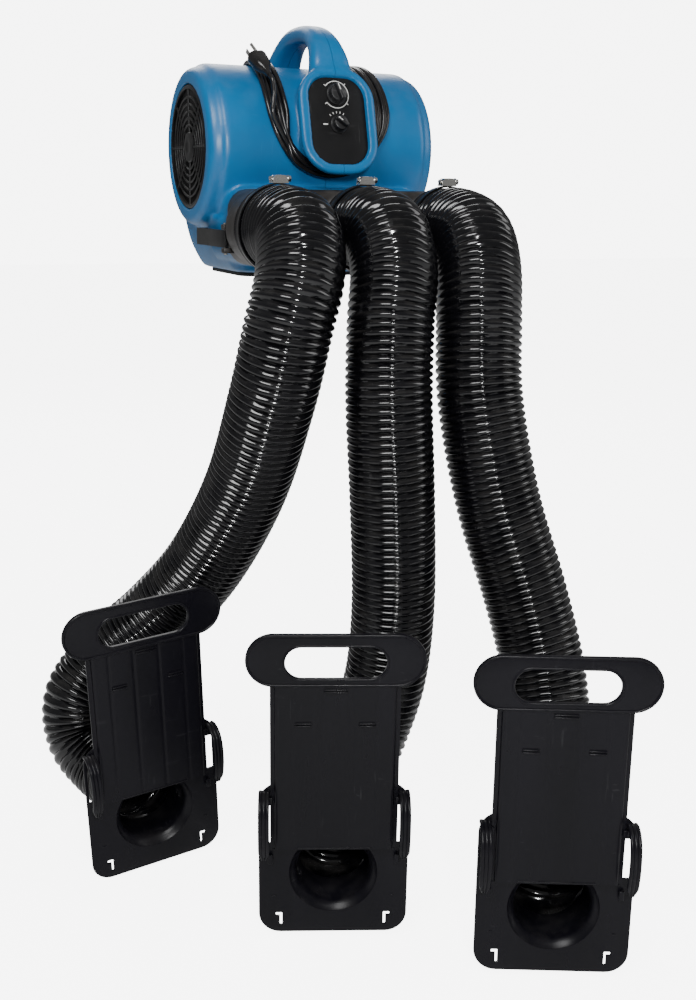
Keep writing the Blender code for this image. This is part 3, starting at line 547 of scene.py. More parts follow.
def make_studio():
    """Lights, pale floor and pale surroundings."""
    soft_light("key", (-1.8, -2.2, 2.4), (-0.05, -0.2, -0.1), (1.3, 1.3), 88.0)
    soft_light("fill", (2.6, -1.6, 1.2), (0.0, -0.3, -0.3), (1.0, 2.2), 26.0)
    soft_light("front_lamp", (-0.62, -2.1, 0.42), (-0.05, -0.3, -0.3), (0.14, 0.14), 24.0)
    soft_light("back", (0.6, 2.6, 1.8), (0.0, -0.1, -0.1), (2.2, 1.4), 50.0)
    data = bpy.data.meshes.new("floor")
    data.from_pydata([(-14, -14, FLOOR_Z), (14, -14, FLOOR_Z), (14, 14, FLOOR_Z), (-14, 14, FLOOR_Z)],
                     [], [(0, 1, 2, 3)])
    floor = linked("floor", data)
    data.materials.append(pale_material("floor_white"))
    world = bpy.data.worlds.new("studio")
    bpy.context.scene.world = world
    world.use_nodes = True
    tree = world.node_tree
    glow = tree.nodes["Background"]
    glow.inputs["Color"].default_value = (1.0, 1.0, 1.0, 1.0)
    seen = tree.nodes.new("ShaderNodeLightPath").outputs["Is Camera Ray"]
    strength = math_node(tree, "ADD", math_node(tree, "MULTIPLY", seen, 6.6), 0.24)
    tree.links.new(strength, glow.inputs["Strength"])


def pale_material(name):
    """Plain matt near-white that fades into the pale surroundings."""
    mat = bpy.data.materials.new(name)
    mat.use_nodes = True
    tree = mat.node_tree
    shader = tree.nodes["Principled BSDF"]
    shader.inputs["Base Color"].default_value = (0.86, 0.86, 0.86, 1.0)
    shader.inputs["Roughness"].default_value = 0.9
    shader.inputs["Specular IOR Level"].default_value = 0.1
    shader.inputs["Emission Color"].default_value = (1.0, 1.0, 1.0, 1.0)
    seen = tree.nodes.new("ShaderNodeLightPath").outputs["Is Camera Ray"]
    tree.links.new(math_node(tree, "MULTIPLY", seen, 6.2), shader.inputs["Emission Strength"])
    return mat


# ---------------------------------------------------------------- hoses

def plate_matrix(name):
    """Plate frame: x to the plate's right, -y out of its front, z up it, origin at its foot."""
    foot, yaw, lean, roll = PLATES[name]
    turn = Matrix.Rotation(radians(yaw), 4, "Z") @ Matrix.Rotation(radians(-lean), 4, "X")
    return Matrix.Translation(foot) @ turn @ Matrix.Rotation(radians(-roll), 4, "Y")


def hose_line(name):
    """Middle line of a hose from its neck to its plate."""
    x = NECKS[name]
    start = [(x, y, MOUTH_Z) for y in (HOSE_START_Y, -0.250, -0.282)]
    end = placed(plate_matrix(name), [(0.0, y, HOLE_V) for y in (0.088, 0.058, 0.0155)])
    return even(smooth_path(np.vstack([start, HOSE_ROUTES[name], end]), 14), HOSE_PITCH / 7)


def ribbed_rows(line, crest, valley, count, shift):
    """Helical ribs: the radius is valley + (crest - valley) |cos(pi f)|^0.75, where f is the run
    along the hose in pitches less the turn round it."""
    angle = np.linspace(0, 2 * pi, count, endpoint=False)[None]
    turns = run_length(line)[:, None] / HOSE_PITCH - angle / (2 * pi) + shift
    radius = valley + (crest - valley) * np.abs(np.cos(pi * turns)) ** 0.75
    u, v = across_path(line, (1.0, 0.0, 0.0))
    wave = u[:, None] * np.cos(angle)[..., None] + v[:, None] * np.sin(angle)[..., None]
    return line[:, None] + radius[..., None] * wave


def make_hose(name):
    """Flexible hose: ribbed outside and inside walls joined at both ends."""
    line = hose_line(name)
    outer = ribbed_rows(line, HOSE_CREST, HOSE_VALLEY, 56, 0.0)
    inner = ribbed_rows(line, HOSE_CREST - 0.0022, HOSE_VALLEY - 0.0018, 56, 0.0)
    points = grid(np.concatenate([outer, inner[::-1]]), ring=True)
    hose = mesh_object("flex_hose_" + name, [points], HOSE, 60)
    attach(hose, "dryer")
    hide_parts("hose_" + name)
    list(make_clamp("plate_clamp_" + name))


# ---------------------------------------------------------------- mains cord

def on_drum(angle, x, reach):
    """Point at degrees up from the front, sideways place x and reach from the fan axis."""
    a = np.radians(angle)
    return np.stack(np.broadcast_arrays(x, -reach * np.cos(a), AXIS_Z + reach * np.sin(a)), -1)


def wrap_path():
    """Closed list of wrap stations, from the front up the left side and down the right."""
    half = np.array(WRAP)
    other = half[-2:0:-1] * (1, -1, 1, 1)
    ring = np.vstack([half, other])[::-1]
    return np.vstack([ring, ring, ring, ring, ring, ring, ring])


def plug_matrix():
    """Plug frame: z from the cord end to the blades, y away from the housing."""
    spot = on_drum(52, -0.092, 0.1435)
    out = on_drum(52, 0.0, 1.0) - on_drum(52, 0.0, 0.0)
    ahead = on_drum(70, -0.099, 0.1435) - on_drum(34, -0.085, 0.1435)
    ahead = unit(ahead - out * (ahead @ out))
    matrix = np.eye(4)
    matrix[:3, :3] = np.stack([np.cross(out, ahead), out, ahead], -1)
    matrix[:3, 3] = spot
    return matrix


def cord_line():
    """Route of the mains cord: gland, up the back, about five and a half turns round boss and
    handle, then the tail into the plug. Turn k lies (k - 2) widths to the side where the band is
    flat, and on a five-sided bundle, the last turn in its
    middle, where it is round."""
    lead = np.array([CORD_EXIT, (0.070, 0.153, 0.196), (0.070, 0.160, 0.1985),
                     (0.068, 0.167, 0.208), (0.063, 0.168, 0.221), (0.057, 0.160, 0.236),
                     (0.052, 0.146, 0.251), (0.050, 0.124, 0.268)])
    stations = smooth_path(wrap_path(), 10)
    per_turn = 24 * 10
    first = int(np.argmin(np.abs(stations[:per_turn, 0] - 121) + 1e3 * (stations[:per_turn, 1] < 0)))
    last = stations[first:first + per_turn]
    count = 5 * per_turn + int(np.argmin(np.abs(last[:, 0] - 2) + 1e3 * (last[:, 1] > 0)))
    run = stations[first:first + count]
    turn = np.arange(count) / per_turn
    strand = 1.0 * np.floor(turn) + step_up(turn % 1.0, 0.70, 0.86)
    angle, x, wide, thick = run.T
    flat = np.clip((wide - 0.0100) / 0.0060, 0.0, 1.0)
    spin = 1.256 * strand + 0.6
    ring = 0.0060 * (1.0 - step_up(strand, 4.3, 5.0))
    lateral = flat * (strand - 2.0) / 2.0 * (wide - CORD_R) + (1 - flat) * ring * np.cos(spin)
    ripple = 0.0012 * np.sin(3.1 * strand + np.radians(angle) * 2.3)
    height = flat * (0.0002 + CORD_R + ripple + 0.0011) + (1 - flat) * (thick + ring * np.sin(spin))
    middle = on_drum(angle, x, BODY_R + 0.0004 + thick)
    ahead = unit(np.gradient(middle, axis=0))
    out = on_drum(angle, 0.0 * x, 1.0 + 0 * x) - on_drum(angle, 0.0 * x, 0.0 * x)
    ahead = unit(ahead - out * np.einsum("ij,ij->i", ahead, out)[:, None])
    aside = np.cross(out, ahead)
    wound = on_drum(angle, x, BODY_R + 0.0004 + height) + aside * lateral[:, None]
    plug = plug_matrix()
    tail = np.vstack([on_drum(17, -0.0865, 0.1335), on_drum(24, -0.0880, 0.1385),
                      on_drum(30, -0.0850, 0.1415),
                      placed(plug, [(0.0, 0.0, z) for z in (-0.0390, -0.0350, -0.0300)])])
    knots = np.vstack([lead, wound[12:-1:6], tail])
    return even(smooth_path(knots, 8), 0.0032)


def make_mains_cord():
    """The one continuous cord with its plug."""
    line = cord_line()
    cord = mesh_object("mains_cord", [grid(tube(line, CORD_R, 12, (0.31, 0.17, 0.93)))], CORD, 60)
    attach(cord, "dryer")
    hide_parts("power_cord_coil", "power_cord_lead", "power_cord_tail")
    plug = make_plug_body()


def make_plug_body():
    """Moulded plug: rounded sections along its length, with grip ridges and a flexible neck."""
    stations = np.array([(-0.030, 0.0085, 0.0085), (-0.020, 0.0100, 0.0100), (-0.013, 0.0180, 0.0145),
                         (-0.005, 0.0245, 0.0178), (0.004, 0.0262, 0.0192), (0.0125, 0.0270, 0.0200),
                         (0.0160, 0.0262, 0.0192)])
    z, width, height = smooth_path(stations, 8).T
    ridge = 0.0006 * np.maximum(0.0, np.sin((z + 0.030) * 2 * pi / 0.0026)) * (z < -0.0165)
    grip = 0.0007 * np.maximum(0.0, np.sin(z * 2 * pi / 0.0036)) * (z > -0.004) * (z < 0.010)
    rows = [lift(rounded_rect(w + r - g, h + r - g, 0.42 * h, 6), 2, level)
            for level, w, h, r, g in zip(z, width, height, ridge, grip)]
    plug = mesh_object("plug_moulding", moved(plug_matrix(), [grid(rows)]), CORD, 45)
    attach(plug, "dryer")
    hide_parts("power_plug_body")
    return plug


# ---------------------------------------------------------------- housing

def boss_matrix():
    """Boss frame: x sideways, y up the face, z out of the face."""
    matrix = np.eye(4)
    matrix[:3, 0] = (1.0, 0.0, 0.0)
    matrix[:3, 1] = (0.0, sin(BOSS_TILT), cos(BOSS_TILT))
    matrix[:3, 2] = (0.0, -cos(BOSS_TILT), sin(BOSS_TILT))
    matrix[:3, 3] = BOSS_FACE
    return matrix


def drum_shell():
    """Drum turned about the fan axis, with a rolled rim and a shallow groove at each end."""
    half = np.array([(0.1750, 0.090), (0.1750, 0.098), (0.1738, 0.1040), (0.1700, 0.1086), (0.1640, 0.1112),
                     (0.1590, 0.1120), (0.1562, 0.1136), (0.1540, 0.1160), (0.1490, 0.1170),
                     (0.1400, BODY_R)])
    profile = np.vstack([half * (-1, 1), half[::-1]])
    return grid(turned(profile, 120) + (0, 0, AXIS_Z))


def foot_shell():
    """Foot that widens upward into the drum."""
    stations = smooth_path([(0.0063, 0.125, -0.096, 0.086), (0.013, 0.134, -0.102, 0.093),
                            (0.045, 0.149, -0.105, 0.099), (0.085, 0.158, -0.106, 0.104)], 4)
    return grid([lift(rounded_rect(2 * x, y1 - y0, 0.030, 8, 0.0, (y0 + y1) / 2), 2, z)
                 for z, x, y0, y1 in stations])


def duct_shell():
    """Outlet duct under the drum."""
    return prism(rounded_rect(0.300, 0.108, 0.026, 8, 0.0, MOUTH_Z), 1, -0.1297, -0.030)


def boss_shell():
    """Control boss: a narrow neck for the wound cord under a wide, rounded rim."""
    stations = [(-0.080, 0.084, 0.108, 0.008), (-0.050, 0.084, 0.108, 0.008), (-0.031, 0.084, 0.108, 0.008),
                (-0.022, 0.092, 0.118, 0.006), (-0.0135, 0.109, 0.143, 0.001), (-0.008, 0.1148, 0.1498, 0.0),
                (-0.004, 0.1150, 0.1500, 0.0), (-0.001, 0.1125, 0.1475, 0.0), (0.0, 0.1065, 0.1415, 0.0)]
    rows = [lift(rounded_rect(w, h, 0.4 * w, 10, 0.0, c), 2, s) for s, w, h, c in smooth_path(stations, 3)]
    return moved(boss_matrix(), [grid(rows)])[0]


def handle_shell():
    """Carrying handle: an oval section along an arch that runs front to back and flares into the
    boss and the drum."""
    path = [(-0.105, 0.236, 0.074, 0.034), (-0.119, 0.262, 0.068, 0.031), (-0.117, 0.291, 0.062, 0.030),
            (-0.104, 0.314, 0.052, 0.028), (-0.084, 0.330, 0.045, 0.027), (-0.058, 0.3395, 0.041, 0.026),
            (-0.025, 0.3430, 0.039, 0.0250), (0.010, 0.340, 0.040, 0.026), (0.038, 0.327, 0.045, 0.027),
            (0.062, 0.305, 0.053, 0.028), (0.079, 0.277, 0.061, 0.029), (0.086, 0.243, 0.072, 0.033)]
    y, z, width, thick = smooth_path(path, 5).T
    slope = np.arctan2(np.gradient(z), np.gradient(y))
    rows = []
    for at_y, at_z, w, t, a in zip(y, z, width, thick, slope):
        section = rounded_rect(w, t, 0.47 * t, 8)
        across, over = section.T
        rows.append(np.stack([across, at_y - over * sin(a), at_z + over * cos(a)], -1))
    return grid(rows)


def soften(obj, voxel, passes):
    """Remeshes overlapping shells into one skin of even squares, then relaxes it."""
    mod = obj.modifiers.new("skin", "REMESH")
    mod.mode, mod.voxel_size, mod.use_smooth_shade = "VOXEL", voxel, True
    apply_modifiers(obj)
    mod = obj.modifiers.new("relax", "SMOOTH")
    mod.factor, mod.iterations = 0.5, passes
    apply_modifiers(obj)


def relax_near(obj, weight, passes):
    """Relaxes the skin more where the weight of each point is high, for soft fillets."""
    group = obj.vertex_groups.new(name="fillet")
    for level in (0.25, 0.5, 0.75, 1.0):
        chosen = np.flatnonzero((weight > level - 0.25) & (weight <= level))
        group.add(chosen.tolist(), level, "REPLACE")
    mod = obj.modifiers.new("fillet", "SMOOTH")
    mod.factor, mod.iterations, mod.vertex_group = 0.5, passes, "fillet"
    apply_modifiers(obj)
    obj.vertex_groups.clear()


def fillet_weight(points):
    """High where the boss, the handle's feet, the foot and the duct meet the drum."""
    x, y, z = points.T
    over = np.hypot(y, z - AXIS_Z) - BODY_R
    near = 1.0 - step_up(np.abs(over - 0.004), 0.006, 0.020)
    handle = near * (z > 0.262) * (np.abs(x) < 0.060) * (y > -0.11)
    boss_top = (1.0 - step_up(np.hypot(y + 0.122, z - 0.277), 0.012, 0.034)) * (np.abs(x) < 0.060)
    low = near * (z < 0.150) * (np.abs(x) < 0.164) * (y > -0.120)
    shelf = (1.0 - step_up(np.abs(z - 0.126), 0.004, 0.016)) * (np.abs(x) < 0.160)
    shelf = shelf * (y < -0.098) * (y > -0.118)
    root = near * (np.abs(x) < 0.058) * (y < -0.09) * (z > 0.14)
    return np.clip(np.max([handle, boss_top, 0.8 * low, shelf, 0.6 * root], axis=0), 0.0, 1.0)


def housing_cutters():
    """Fan chamber, duct, switch pocket, panel recess and gland hole."""
    half = np.array([(0.185, 0.010), (0.185, 0.088), (0.168, 0.088), (0.168, 0.101), (0.150, 0.1125)])
    drum = grid(turned(np.vstack([half * (-1, 1), half[::-1]]), 120) + (0, 0, AXIS_Z))
    duct = prism(rounded_rect(0.288, 0.096, 0.021, 6, 0.0, MOUTH_Z), 1, -0.140, -0.036)
    pocket = prism(rounded_rect(0.068, 0.094, 0.012, 4, 0.0, 0.009), 2, -0.040, -0.005)
    recess = prism(rounded_rect(0.0872, 0.1232, 0.0306, 8), 2, -0.008, 0.010)
    gland = prism(rounded_rect(0.0150, 0.0150, 0.0075, 8, CORD_EXIT[0], CORD_EXIT[2]), 1, 0.090, 0.130)
    return [drum, duct, *moved(boss_matrix(), [pocket, recess]), gland]


def make_housing():
    """Both halves: one skin over the shells, hollowed, relaxed and parted at the middle plane."""
    shells = [drum_shell(), foot_shell(), duct_shell(), boss_shell(), handle_shell()]
    body = mesh_object("housing_skin", shells[:1], BLUE)
    for shell in shells[1:]:
        combine(body, [shell], "UNION")
    for cutter in housing_cutters():
        combine(body, [cutter], "DIFFERENCE")
    soften(body, 0.0023, 5)
    relax_near(body, fillet_weight(vertex_points(body)), 26)
    for side, sign in (("left", -1), ("right", 1)):
        half = half_of(body, "shell_half_" + side, sign)
        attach(half, "dryer")
        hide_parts("housing_" + side)
    bpy.data.objects.remove(body)


def half_of(body, name, sign):
    """One side of the body, cut just short of the middle plane and closed there."""
    bm = bmesh.new()
    bm.from_mesh(body.data)
    everything = bm.verts[:] + bm.edges[:] + bm.faces[:]
    cut = bmesh.ops.bisect_plane(bm, geom=everything, plane_co=(sign * 0.0003, 0, 0), plane_no=(-sign, 0, 0),
                                 clear_outer=True)
    edges = [e for e in cut["geom_cut"] if isinstance(e, bmesh.types.BMEdge)]
    bmesh.ops.triangle_fill(bm, edges=edges, use_beauty=True)
    bmesh.ops.recalc_face_normals(bm, faces=bm.faces)
    mesh = bpy.data.meshes.new(name)
    bm.to_mesh(mesh)
    bm.free()
    return finished(linked(name, mesh), BLUE, 60)


# ---------------------------------------------------------------- small carried-over pieces

def eased_copy(node, name, edge, material):
    """The frame's own piece with its edges rounded over."""
    source = frame["nodes"][node]
    bm = bmesh.new()
    bm.from_mesh(source.data)
    bmesh.ops.remove_doubles(bm, verts=bm.verts, dist=1e-5)
    bmesh.ops.dissolve_limit(bm, angle_limit=radians(2), verts=bm.verts, edges=bm.edges)
    mesh = bpy.data.meshes.new(name)
    bm.to_mesh(mesh)
    bm.free()
    obj = linked(name, mesh)
    mod = obj.modifiers.new("edge", "BEVEL")
    mod.width, mod.segments, mod.limit_method, mod.angle_limit = edge, 2, "ANGLE", radians(40)
    apply_modifiers(obj)
    finished(obj, material, 50)
    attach(obj, source.parent.name.split(":", 1)[1])
    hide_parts(node)
    return obj


def finish_node(node, material):
    """Gives the frame's own piece its material."""
    slots = frame["nodes"][node].data.materials
    slots.clear()
    slots.append(material)


# ---------------------------------------------------------------- inlets and fan

def torus(ring_radius, wire, x, count=72, sides=10, flat=1.0):
    """Ring about the fan axis: a round wire at ring_radius, squashed along X by flat."""
    turn = np.linspace(0, 2 * pi, sides, endpoint=False)
    profile = np.stack([x + flat * wire * np.cos(turn), ring_radius + wire * np.sin(turn)], -1)
    return grid(turned(profile, count) + (0, 0, AXIS_Z), ring=True)


def spoke(angle, r0, r1, x, sign):
    """Guard spoke from r0 to r1, bowed in towards the hub by 2 mm."""
    t = np.linspace(0, 1, 9)
    r = r0 + (r1 - r0) * t
    line = np.stack([x - sign * 0.0012 * (1 - t) ** 2, -r * cos(angle), AXIS_Z + r * sin(angle)], -1)
    return grid(tube(line, 0.0019, 8))


def make_guard(side, sign):
    """Dished inlet guard: rings, spokes, a rim and a hub cap, with the inlet cone behind it."""
    shells = [torus(r, 0.0017, sign * x) for r, x in ((0.0310, 0.1712), (0.0405, 0.1713), (0.0500, 0.1714),
                                                     (0.0600, 0.1716), (0.0700, 0.1718))]
    rim = np.array([(0.1690, 0.0812), (0.1738, 0.0812), (0.1748, 0.0826), (0.1746, 0.0845), (0.1730, 0.0868),
                    (0.1690, 0.0872)]) * (sign, 1)
    shells.append(grid(turned(rim, 96) + (0, 0, AXIS_Z), ring=True))
    shells += [spoke(a, 0.018, 0.0825, sign * 0.1716, sign) for a in np.arange(8) * pi / 4]
    cap = np.array([(0.1692, 0.0215), (0.1712, 0.0222), (0.1732, 0.0205), (0.1741, 0.0150), (0.1741, 0.0090),
                    (0.1731, 0.0065), (0.1731, 0.0010)]) * (sign, 1)
    shells.append(grid(turned(cap, 48) + (0, 0, AXIS_Z)))
    guard = mesh_object("inlet_guard_" + side, shells, GUARD, 40)
    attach(guard, "dryer")
    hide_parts("inlet_grille_" + side)
    mouth = np.array([(0.1694, 0.0866), (0.1660, 0.0862), (0.1590, 0.0795), (0.1530, 0.0715),
                      (0.1500, 0.0672), (0.1490, 0.0680), (0.1520, 0.0730), (0.1585, 0.0812),
                      (0.1650, 0.0878), (0.1694, 0.0878)]) * (sign, 1)
    shells = [grid(turned(mouth, 96) + (0, 0, AXIS_Z), ring=True)]
    cone = mesh_object("inlet_cone_" + side, shells, GUARD, 50)
    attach(cone, "dryer")


def make_wheel(side, sign):
    """Squirrel-cage wheel: back disc with a hub, curved blades and an outer ring."""
    hub = np.array([(0.058, 0.0064), (0.058, 0.0660), (0.0592, 0.0838), (0.0610, 0.0838), (0.0610, 0.0180),
                    (0.0740, 0.0160), (0.0740, 0.0064)]) * (sign, 1)
    ring = np.array([(0.1424, 0.0662), (0.1424, 0.0838), (0.1458, 0.0838), (0.1458, 0.0662)]) * (sign, 1)
    shells = [grid(turned(p, 72) + (0, 0, AXIS_Z), ring=True) for p in (hub, ring)]
    t = np.linspace(0, 1, 6)
    r, bend = 0.0665 + 0.0165 * t, 0.10 * t ** 2
    for start in np.arange(40) * 2 * pi / 40:
        mid = start + bend
        outline = np.concatenate([np.stack([-r * np.cos(mid + e), AXIS_Z + r * np.sin(mid + e)], -1)[::s]
                                  for e, s in ((0.006, 1), (-0.006, -1))])
        shells.append(prism(outline, 0, sign * 0.0608, sign * 0.1426))
    wheel = mesh_object("blower_wheel_" + side, shells, WHEEL, 40)
    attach(wheel, "rotor")
    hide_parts("fan_wheel_" + side)


# ---------------------------------------------------------------- controls

def face_ring(radius, width, start, stop, count=60):
    """Thin printed arc on the panel: degrees clockwise from the top."""
    a = np.radians(np.linspace(start, stop, count))
    rows = []
    for angle in a:
        rows.append([(r * sin(angle), r * cos(angle), s) for r, s in
                     ((radius - width / 2, -0.00505), (radius + width / 2, -0.00505),
                      (radius + width / 2, -0.00485), (radius - width / 2, -0.00485))])
    return grid(np.array(rows))


def face_bar(angle, r0, r1, width):
    """Short printed line on the panel that points away from the dial's middle."""
    a = radians(angle)
    along, aside = np.array([sin(a), cos(a)]), np.array([cos(a), -sin(a)]) * width / 2
    corners = [along * r0 - aside, along * r0 + aside, along * r1 + aside, along * r1 - aside]
    return prism(np.array(corners), 2, -0.00505, -0.00485)


def make_panel():
    """Panel plate with a rolled rim and its printed dial marks."""
    fascia = rounded_slab(0.0862, 0.1222, 0.0301, -0.0090, -0.0050, 2, 0.0009, steps=12)
    plate = mesh_object("control_fascia", [fascia], PANEL)
    for v in (TIMER_V, SPEED_V):
        combine(plate, [prism(rounded_rect(0.0084, 0.0084, 0.0042, 6, 0.0, v), 2, -0.012, 0.0)], "DIFFERENCE")
    plate.data.transform(Matrix(boss_matrix().tolist()))
    finished(plate, PANEL)
    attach(plate, "dryer")
    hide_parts("control_panel")
    up_timer, up_speed = np.eye(4), np.eye(4)
    up_timer[1, 3], up_speed[1, 3] = TIMER_V, SPEED_V
    timer = [face_ring(0.0188, 0.0010, -52, 232)]
    timer += [face_bar(a, 0.0180, 0.0222, 0.0010) for a in (-52, 44, 128, 232)]
    speed = [face_bar(-90, 0.0165, 0.0235, 0.0018)]
    speed += [face_bar(a, 0.0158, 0.0186, 0.0009) for a in (-42, -24, -6, 12, 30)]
    marks = moved(boss_matrix() @ up_timer, timer) + moved(boss_matrix() @ up_speed, speed)
    printed = mesh_object("dial_marks", marks, PRINT)
    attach(printed, "dryer")


def make_knob(node, name, body, v, skirt, grip, turn):
    """Fluted knob with a waisted finger bar and a white pointer line."""
    profile = np.array([(-0.0105, 0.0034), (-0.0046, 0.0034), (-0.0045, skirt - 0.0006), (-0.0040, skirt),
                        (-0.0026, skirt), (-0.0019, skirt - 0.0008), (-0.0013, grip + 0.0004),
                        (0.0000, grip), (0.0052, grip * 0.94), (0.0064, grip * 0.90), (0.0068, grip * 0.82)])
    angle = np.linspace(0, 2 * pi, 96, endpoint=False)[None]
    flute = 0.00035 * np.cos(24 * angle) * ((profile[:, :1] > -0.001) & (profile[:, :1] < 0.0055))
    r = profile[:, 1:] + flute
    cup = np.stack([r * np.cos(angle), r * np.sin(angle), profile[:, :1] + 0 * angle], -1)
    half = grip - 0.0007
    rows = []
    for s, w, shrink in ((0.0040, 0.0074, 0.0), (0.0085, 0.0062, 0.0), (0.0118, 0.0054, 0.0002),
                         (0.0130, 0.0046, 0.0008), (0.0135, 0.0034, 0.0016)):
        outline = rounded_rect(w, 2 * (half - shrink), 0.0016, 5)
        waist = 1.0 - 0.22 * np.cos(outline[:, 1] / half * pi / 2) ** 2
        rows.append(lift(outline * np.stack([waist, np.ones_like(waist)], -1), 2, s))
    spin, raised = np.eye(4), np.eye(4)
    a = radians(-turn)
    spin[:2, :2] = ((cos(a), -sin(a)), (sin(a), cos(a)))
    raised[1, 3] = v
    place = boss_matrix() @ raised @ spin
    knob = mesh_object(name, moved(place, [grid(cup), grid(rows)]), KNOB, 40)
    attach(knob, body)
    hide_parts(node)
    line = [rounded_slab(0.0011, half * 0.80, 0.0005, 0.01345, 0.01365, 2, 0.00005, 0.0, half * 0.50, 3)]
    pointer = mesh_object(name + "_pointer", moved(place, line), PRINT)
    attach(pointer, body)


# ---------------------------------------------------------------- manifold

def make_manifold():
    """Plenum with three necks, one relaxed skin so that saddles form between the necks."""
    plan = smooth_path([(-0.1338, 0.160, 0.052), (-0.160, 0.160, 0.052), (-0.194, 0.160, 0.052),
                        (-0.2055, 0.1585, 0.0505), (-0.2100, 0.154, 0.0460), (-0.2115, 0.147, 0.040)], 4)
    outer = grid([lift(rounded_rect(2 * w, 2 * h, max(h - 0.022, 0.012), 8, 0.0, MOUTH_Z), 1, y)
                  for y, w, h in plan])
    body = mesh_object("manifold_moulding", [outer], MANIFOLD)
    for x in NECKS.values():
        rows = [lift(rounded_rect(2 * r, 2 * r, r, 14, x, MOUTH_Z), 1, y)
                for y, r in ((-0.170, 0.0500), (-0.200, 0.0505), (-0.207, 0.0512), (-0.213, 0.0505),
                             (-0.219, 0.0490), (-0.268, 0.0490), (-0.273, 0.0502), (-0.2750, 0.0490))]
        combine(body, [grid(rows)], "UNION")
    inner = [lift(rounded_rect(2 * w, 2 * h, 0.024, 6, 0.0, MOUTH_Z), 1, y)
             for y, w, h in ((-0.125, 0.1562, 0.0482), (-0.190, 0.1562, 0.0482), (-0.206, 0.147, 0.041))]
    combine(body, [grid(inner)], "DIFFERENCE")
    for x in NECKS.values():
        bore = prism(rounded_rect(0.090, 0.090, 0.045, 12, x, MOUTH_Z), 1, -0.180, -0.290)
        combine(body, [bore], "DIFFERENCE")
    soften(body, 0.0024, 4)
    x, y = vertex_points(body).T[:2]
    weight = (1.0 - step_up(np.abs(y + 0.208), 0.008, 0.016)) * (np.abs(x) < 0.150)
    relax_near(body, weight, 10)
    lugs = []
    for sign in (-1, 1):
        lugs += [block((sign * 0.152, -0.1555, z0), (sign * 0.1725, -0.1445, z1), 0.0012)
                 for z0, z1 in ((0.037, 0.0442), (0.0688, 0.076))]
    extras = mesh_object("lugs", lugs, MANIFOLD)
    join_into(body, extras)
    finished(body, MANIFOLD, 60)
    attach(body, "dryer")
    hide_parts("outlet_manifold")


def join_into(obj, other):
    """Adds the other object's mesh to this one."""
    bm = bmesh.new()
    bm.from_mesh(obj.data)
    bm.from_mesh(other.data)
    bm.to_mesh(obj.data)
    bm.free()
    bpy.data.objects.remove(other)


# ---------------------------------------------------------------- clamps

def clamp_frame(name):
    """Places of the six clamps: X along the hose, Z to the screw."""
    turn = Matrix.Rotation(pi / 2, 4, "Z")
    kind, which = name.rsplit("_", 1)
    if kind == "neck_clamp":
        return Matrix.Translation((NECKS[which], NECK_CLAMP_Y, MOUTH_Z)) @ turn
    return plate_matrix(which) @ Matrix.Translation((0.0, 0.035, HOLE_V)) @ turn


def make_clamp(name):
    """Worm-drive clamp: band with rolled edges, bent screw housing and a hexagon screw on a round collar."""
    place = clamp_frame(name)
    band = [(-0.0060, 0.0577), (-0.0057, 0.0574), (0.0057, 0.0574), (0.0060, 0.0577), (0.0060, 0.0590),
            (0.0054, 0.0592), (0.0046, 0.0587), (-0.0046, 0.0587), (-0.0054, 0.0592), (-0.0060, 0.0590)]
    strip = mesh_object(name + "_strap", moved(place, [grid(turned(band, 72), ring=True)]), STRAP, 50)
    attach(strip, "dryer")
    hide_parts(name + "_band")
    arch = np.array([(-0.0118, 0.0592), (-0.0112, 0.0612), (-0.0092, 0.0672), (-0.0070, 0.0694),
                     (0.0, 0.0698), (0.0070, 0.0694), (0.0092, 0.0672), (0.0112, 0.0612),
                     (0.0118, 0.0592), (0.0, 0.0590)])
    rows = [lift(np.array([0.0, 0.0643]) + (arch - (0.0, 0.0643)) * k, 0, x)
            for x, k in ((-0.0066, 0.97), (-0.0062, 1.0), (-0.0034, 1.0), (-0.0028, 0.93), (0.0028, 0.93),
                         (0.0034, 1.0), (0.0062, 1.0), (0.0066, 0.97))]
    hexagon = np.linspace(0, 2 * pi, 6, endpoint=False)[None]
    stem = np.linspace(0, 2 * pi, 18, endpoint=False)[None]
    head = np.array([(-0.0165, 0.0036), (-0.0160, 0.0043), (-0.0124, 0.0043), (-0.0122, 0.0041)])
    collar = np.array([(-0.0125, 0.0052), (-0.0116, 0.0052), (-0.0116, 0.0030), (0.0130, 0.0030),
                       (0.0134, 0.0024)])
    parts = [grid(rows)]
    for profile, angle in ((head, hexagon), (collar, stem)):
        at, r = profile[:, :1], profile[:, 1:]
        parts.append(grid(np.stack([r * np.cos(angle), at + 0 * angle, 0.0650 + r * np.sin(angle)], -1)))
    screw = mesh_object(name + "_worm", moved(place, parts), STEEL, 30)
    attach(screw, "dryer")
    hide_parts(name + "_screw")
    return strip, screw


# ---------------------------------------------------------------- outlet plates

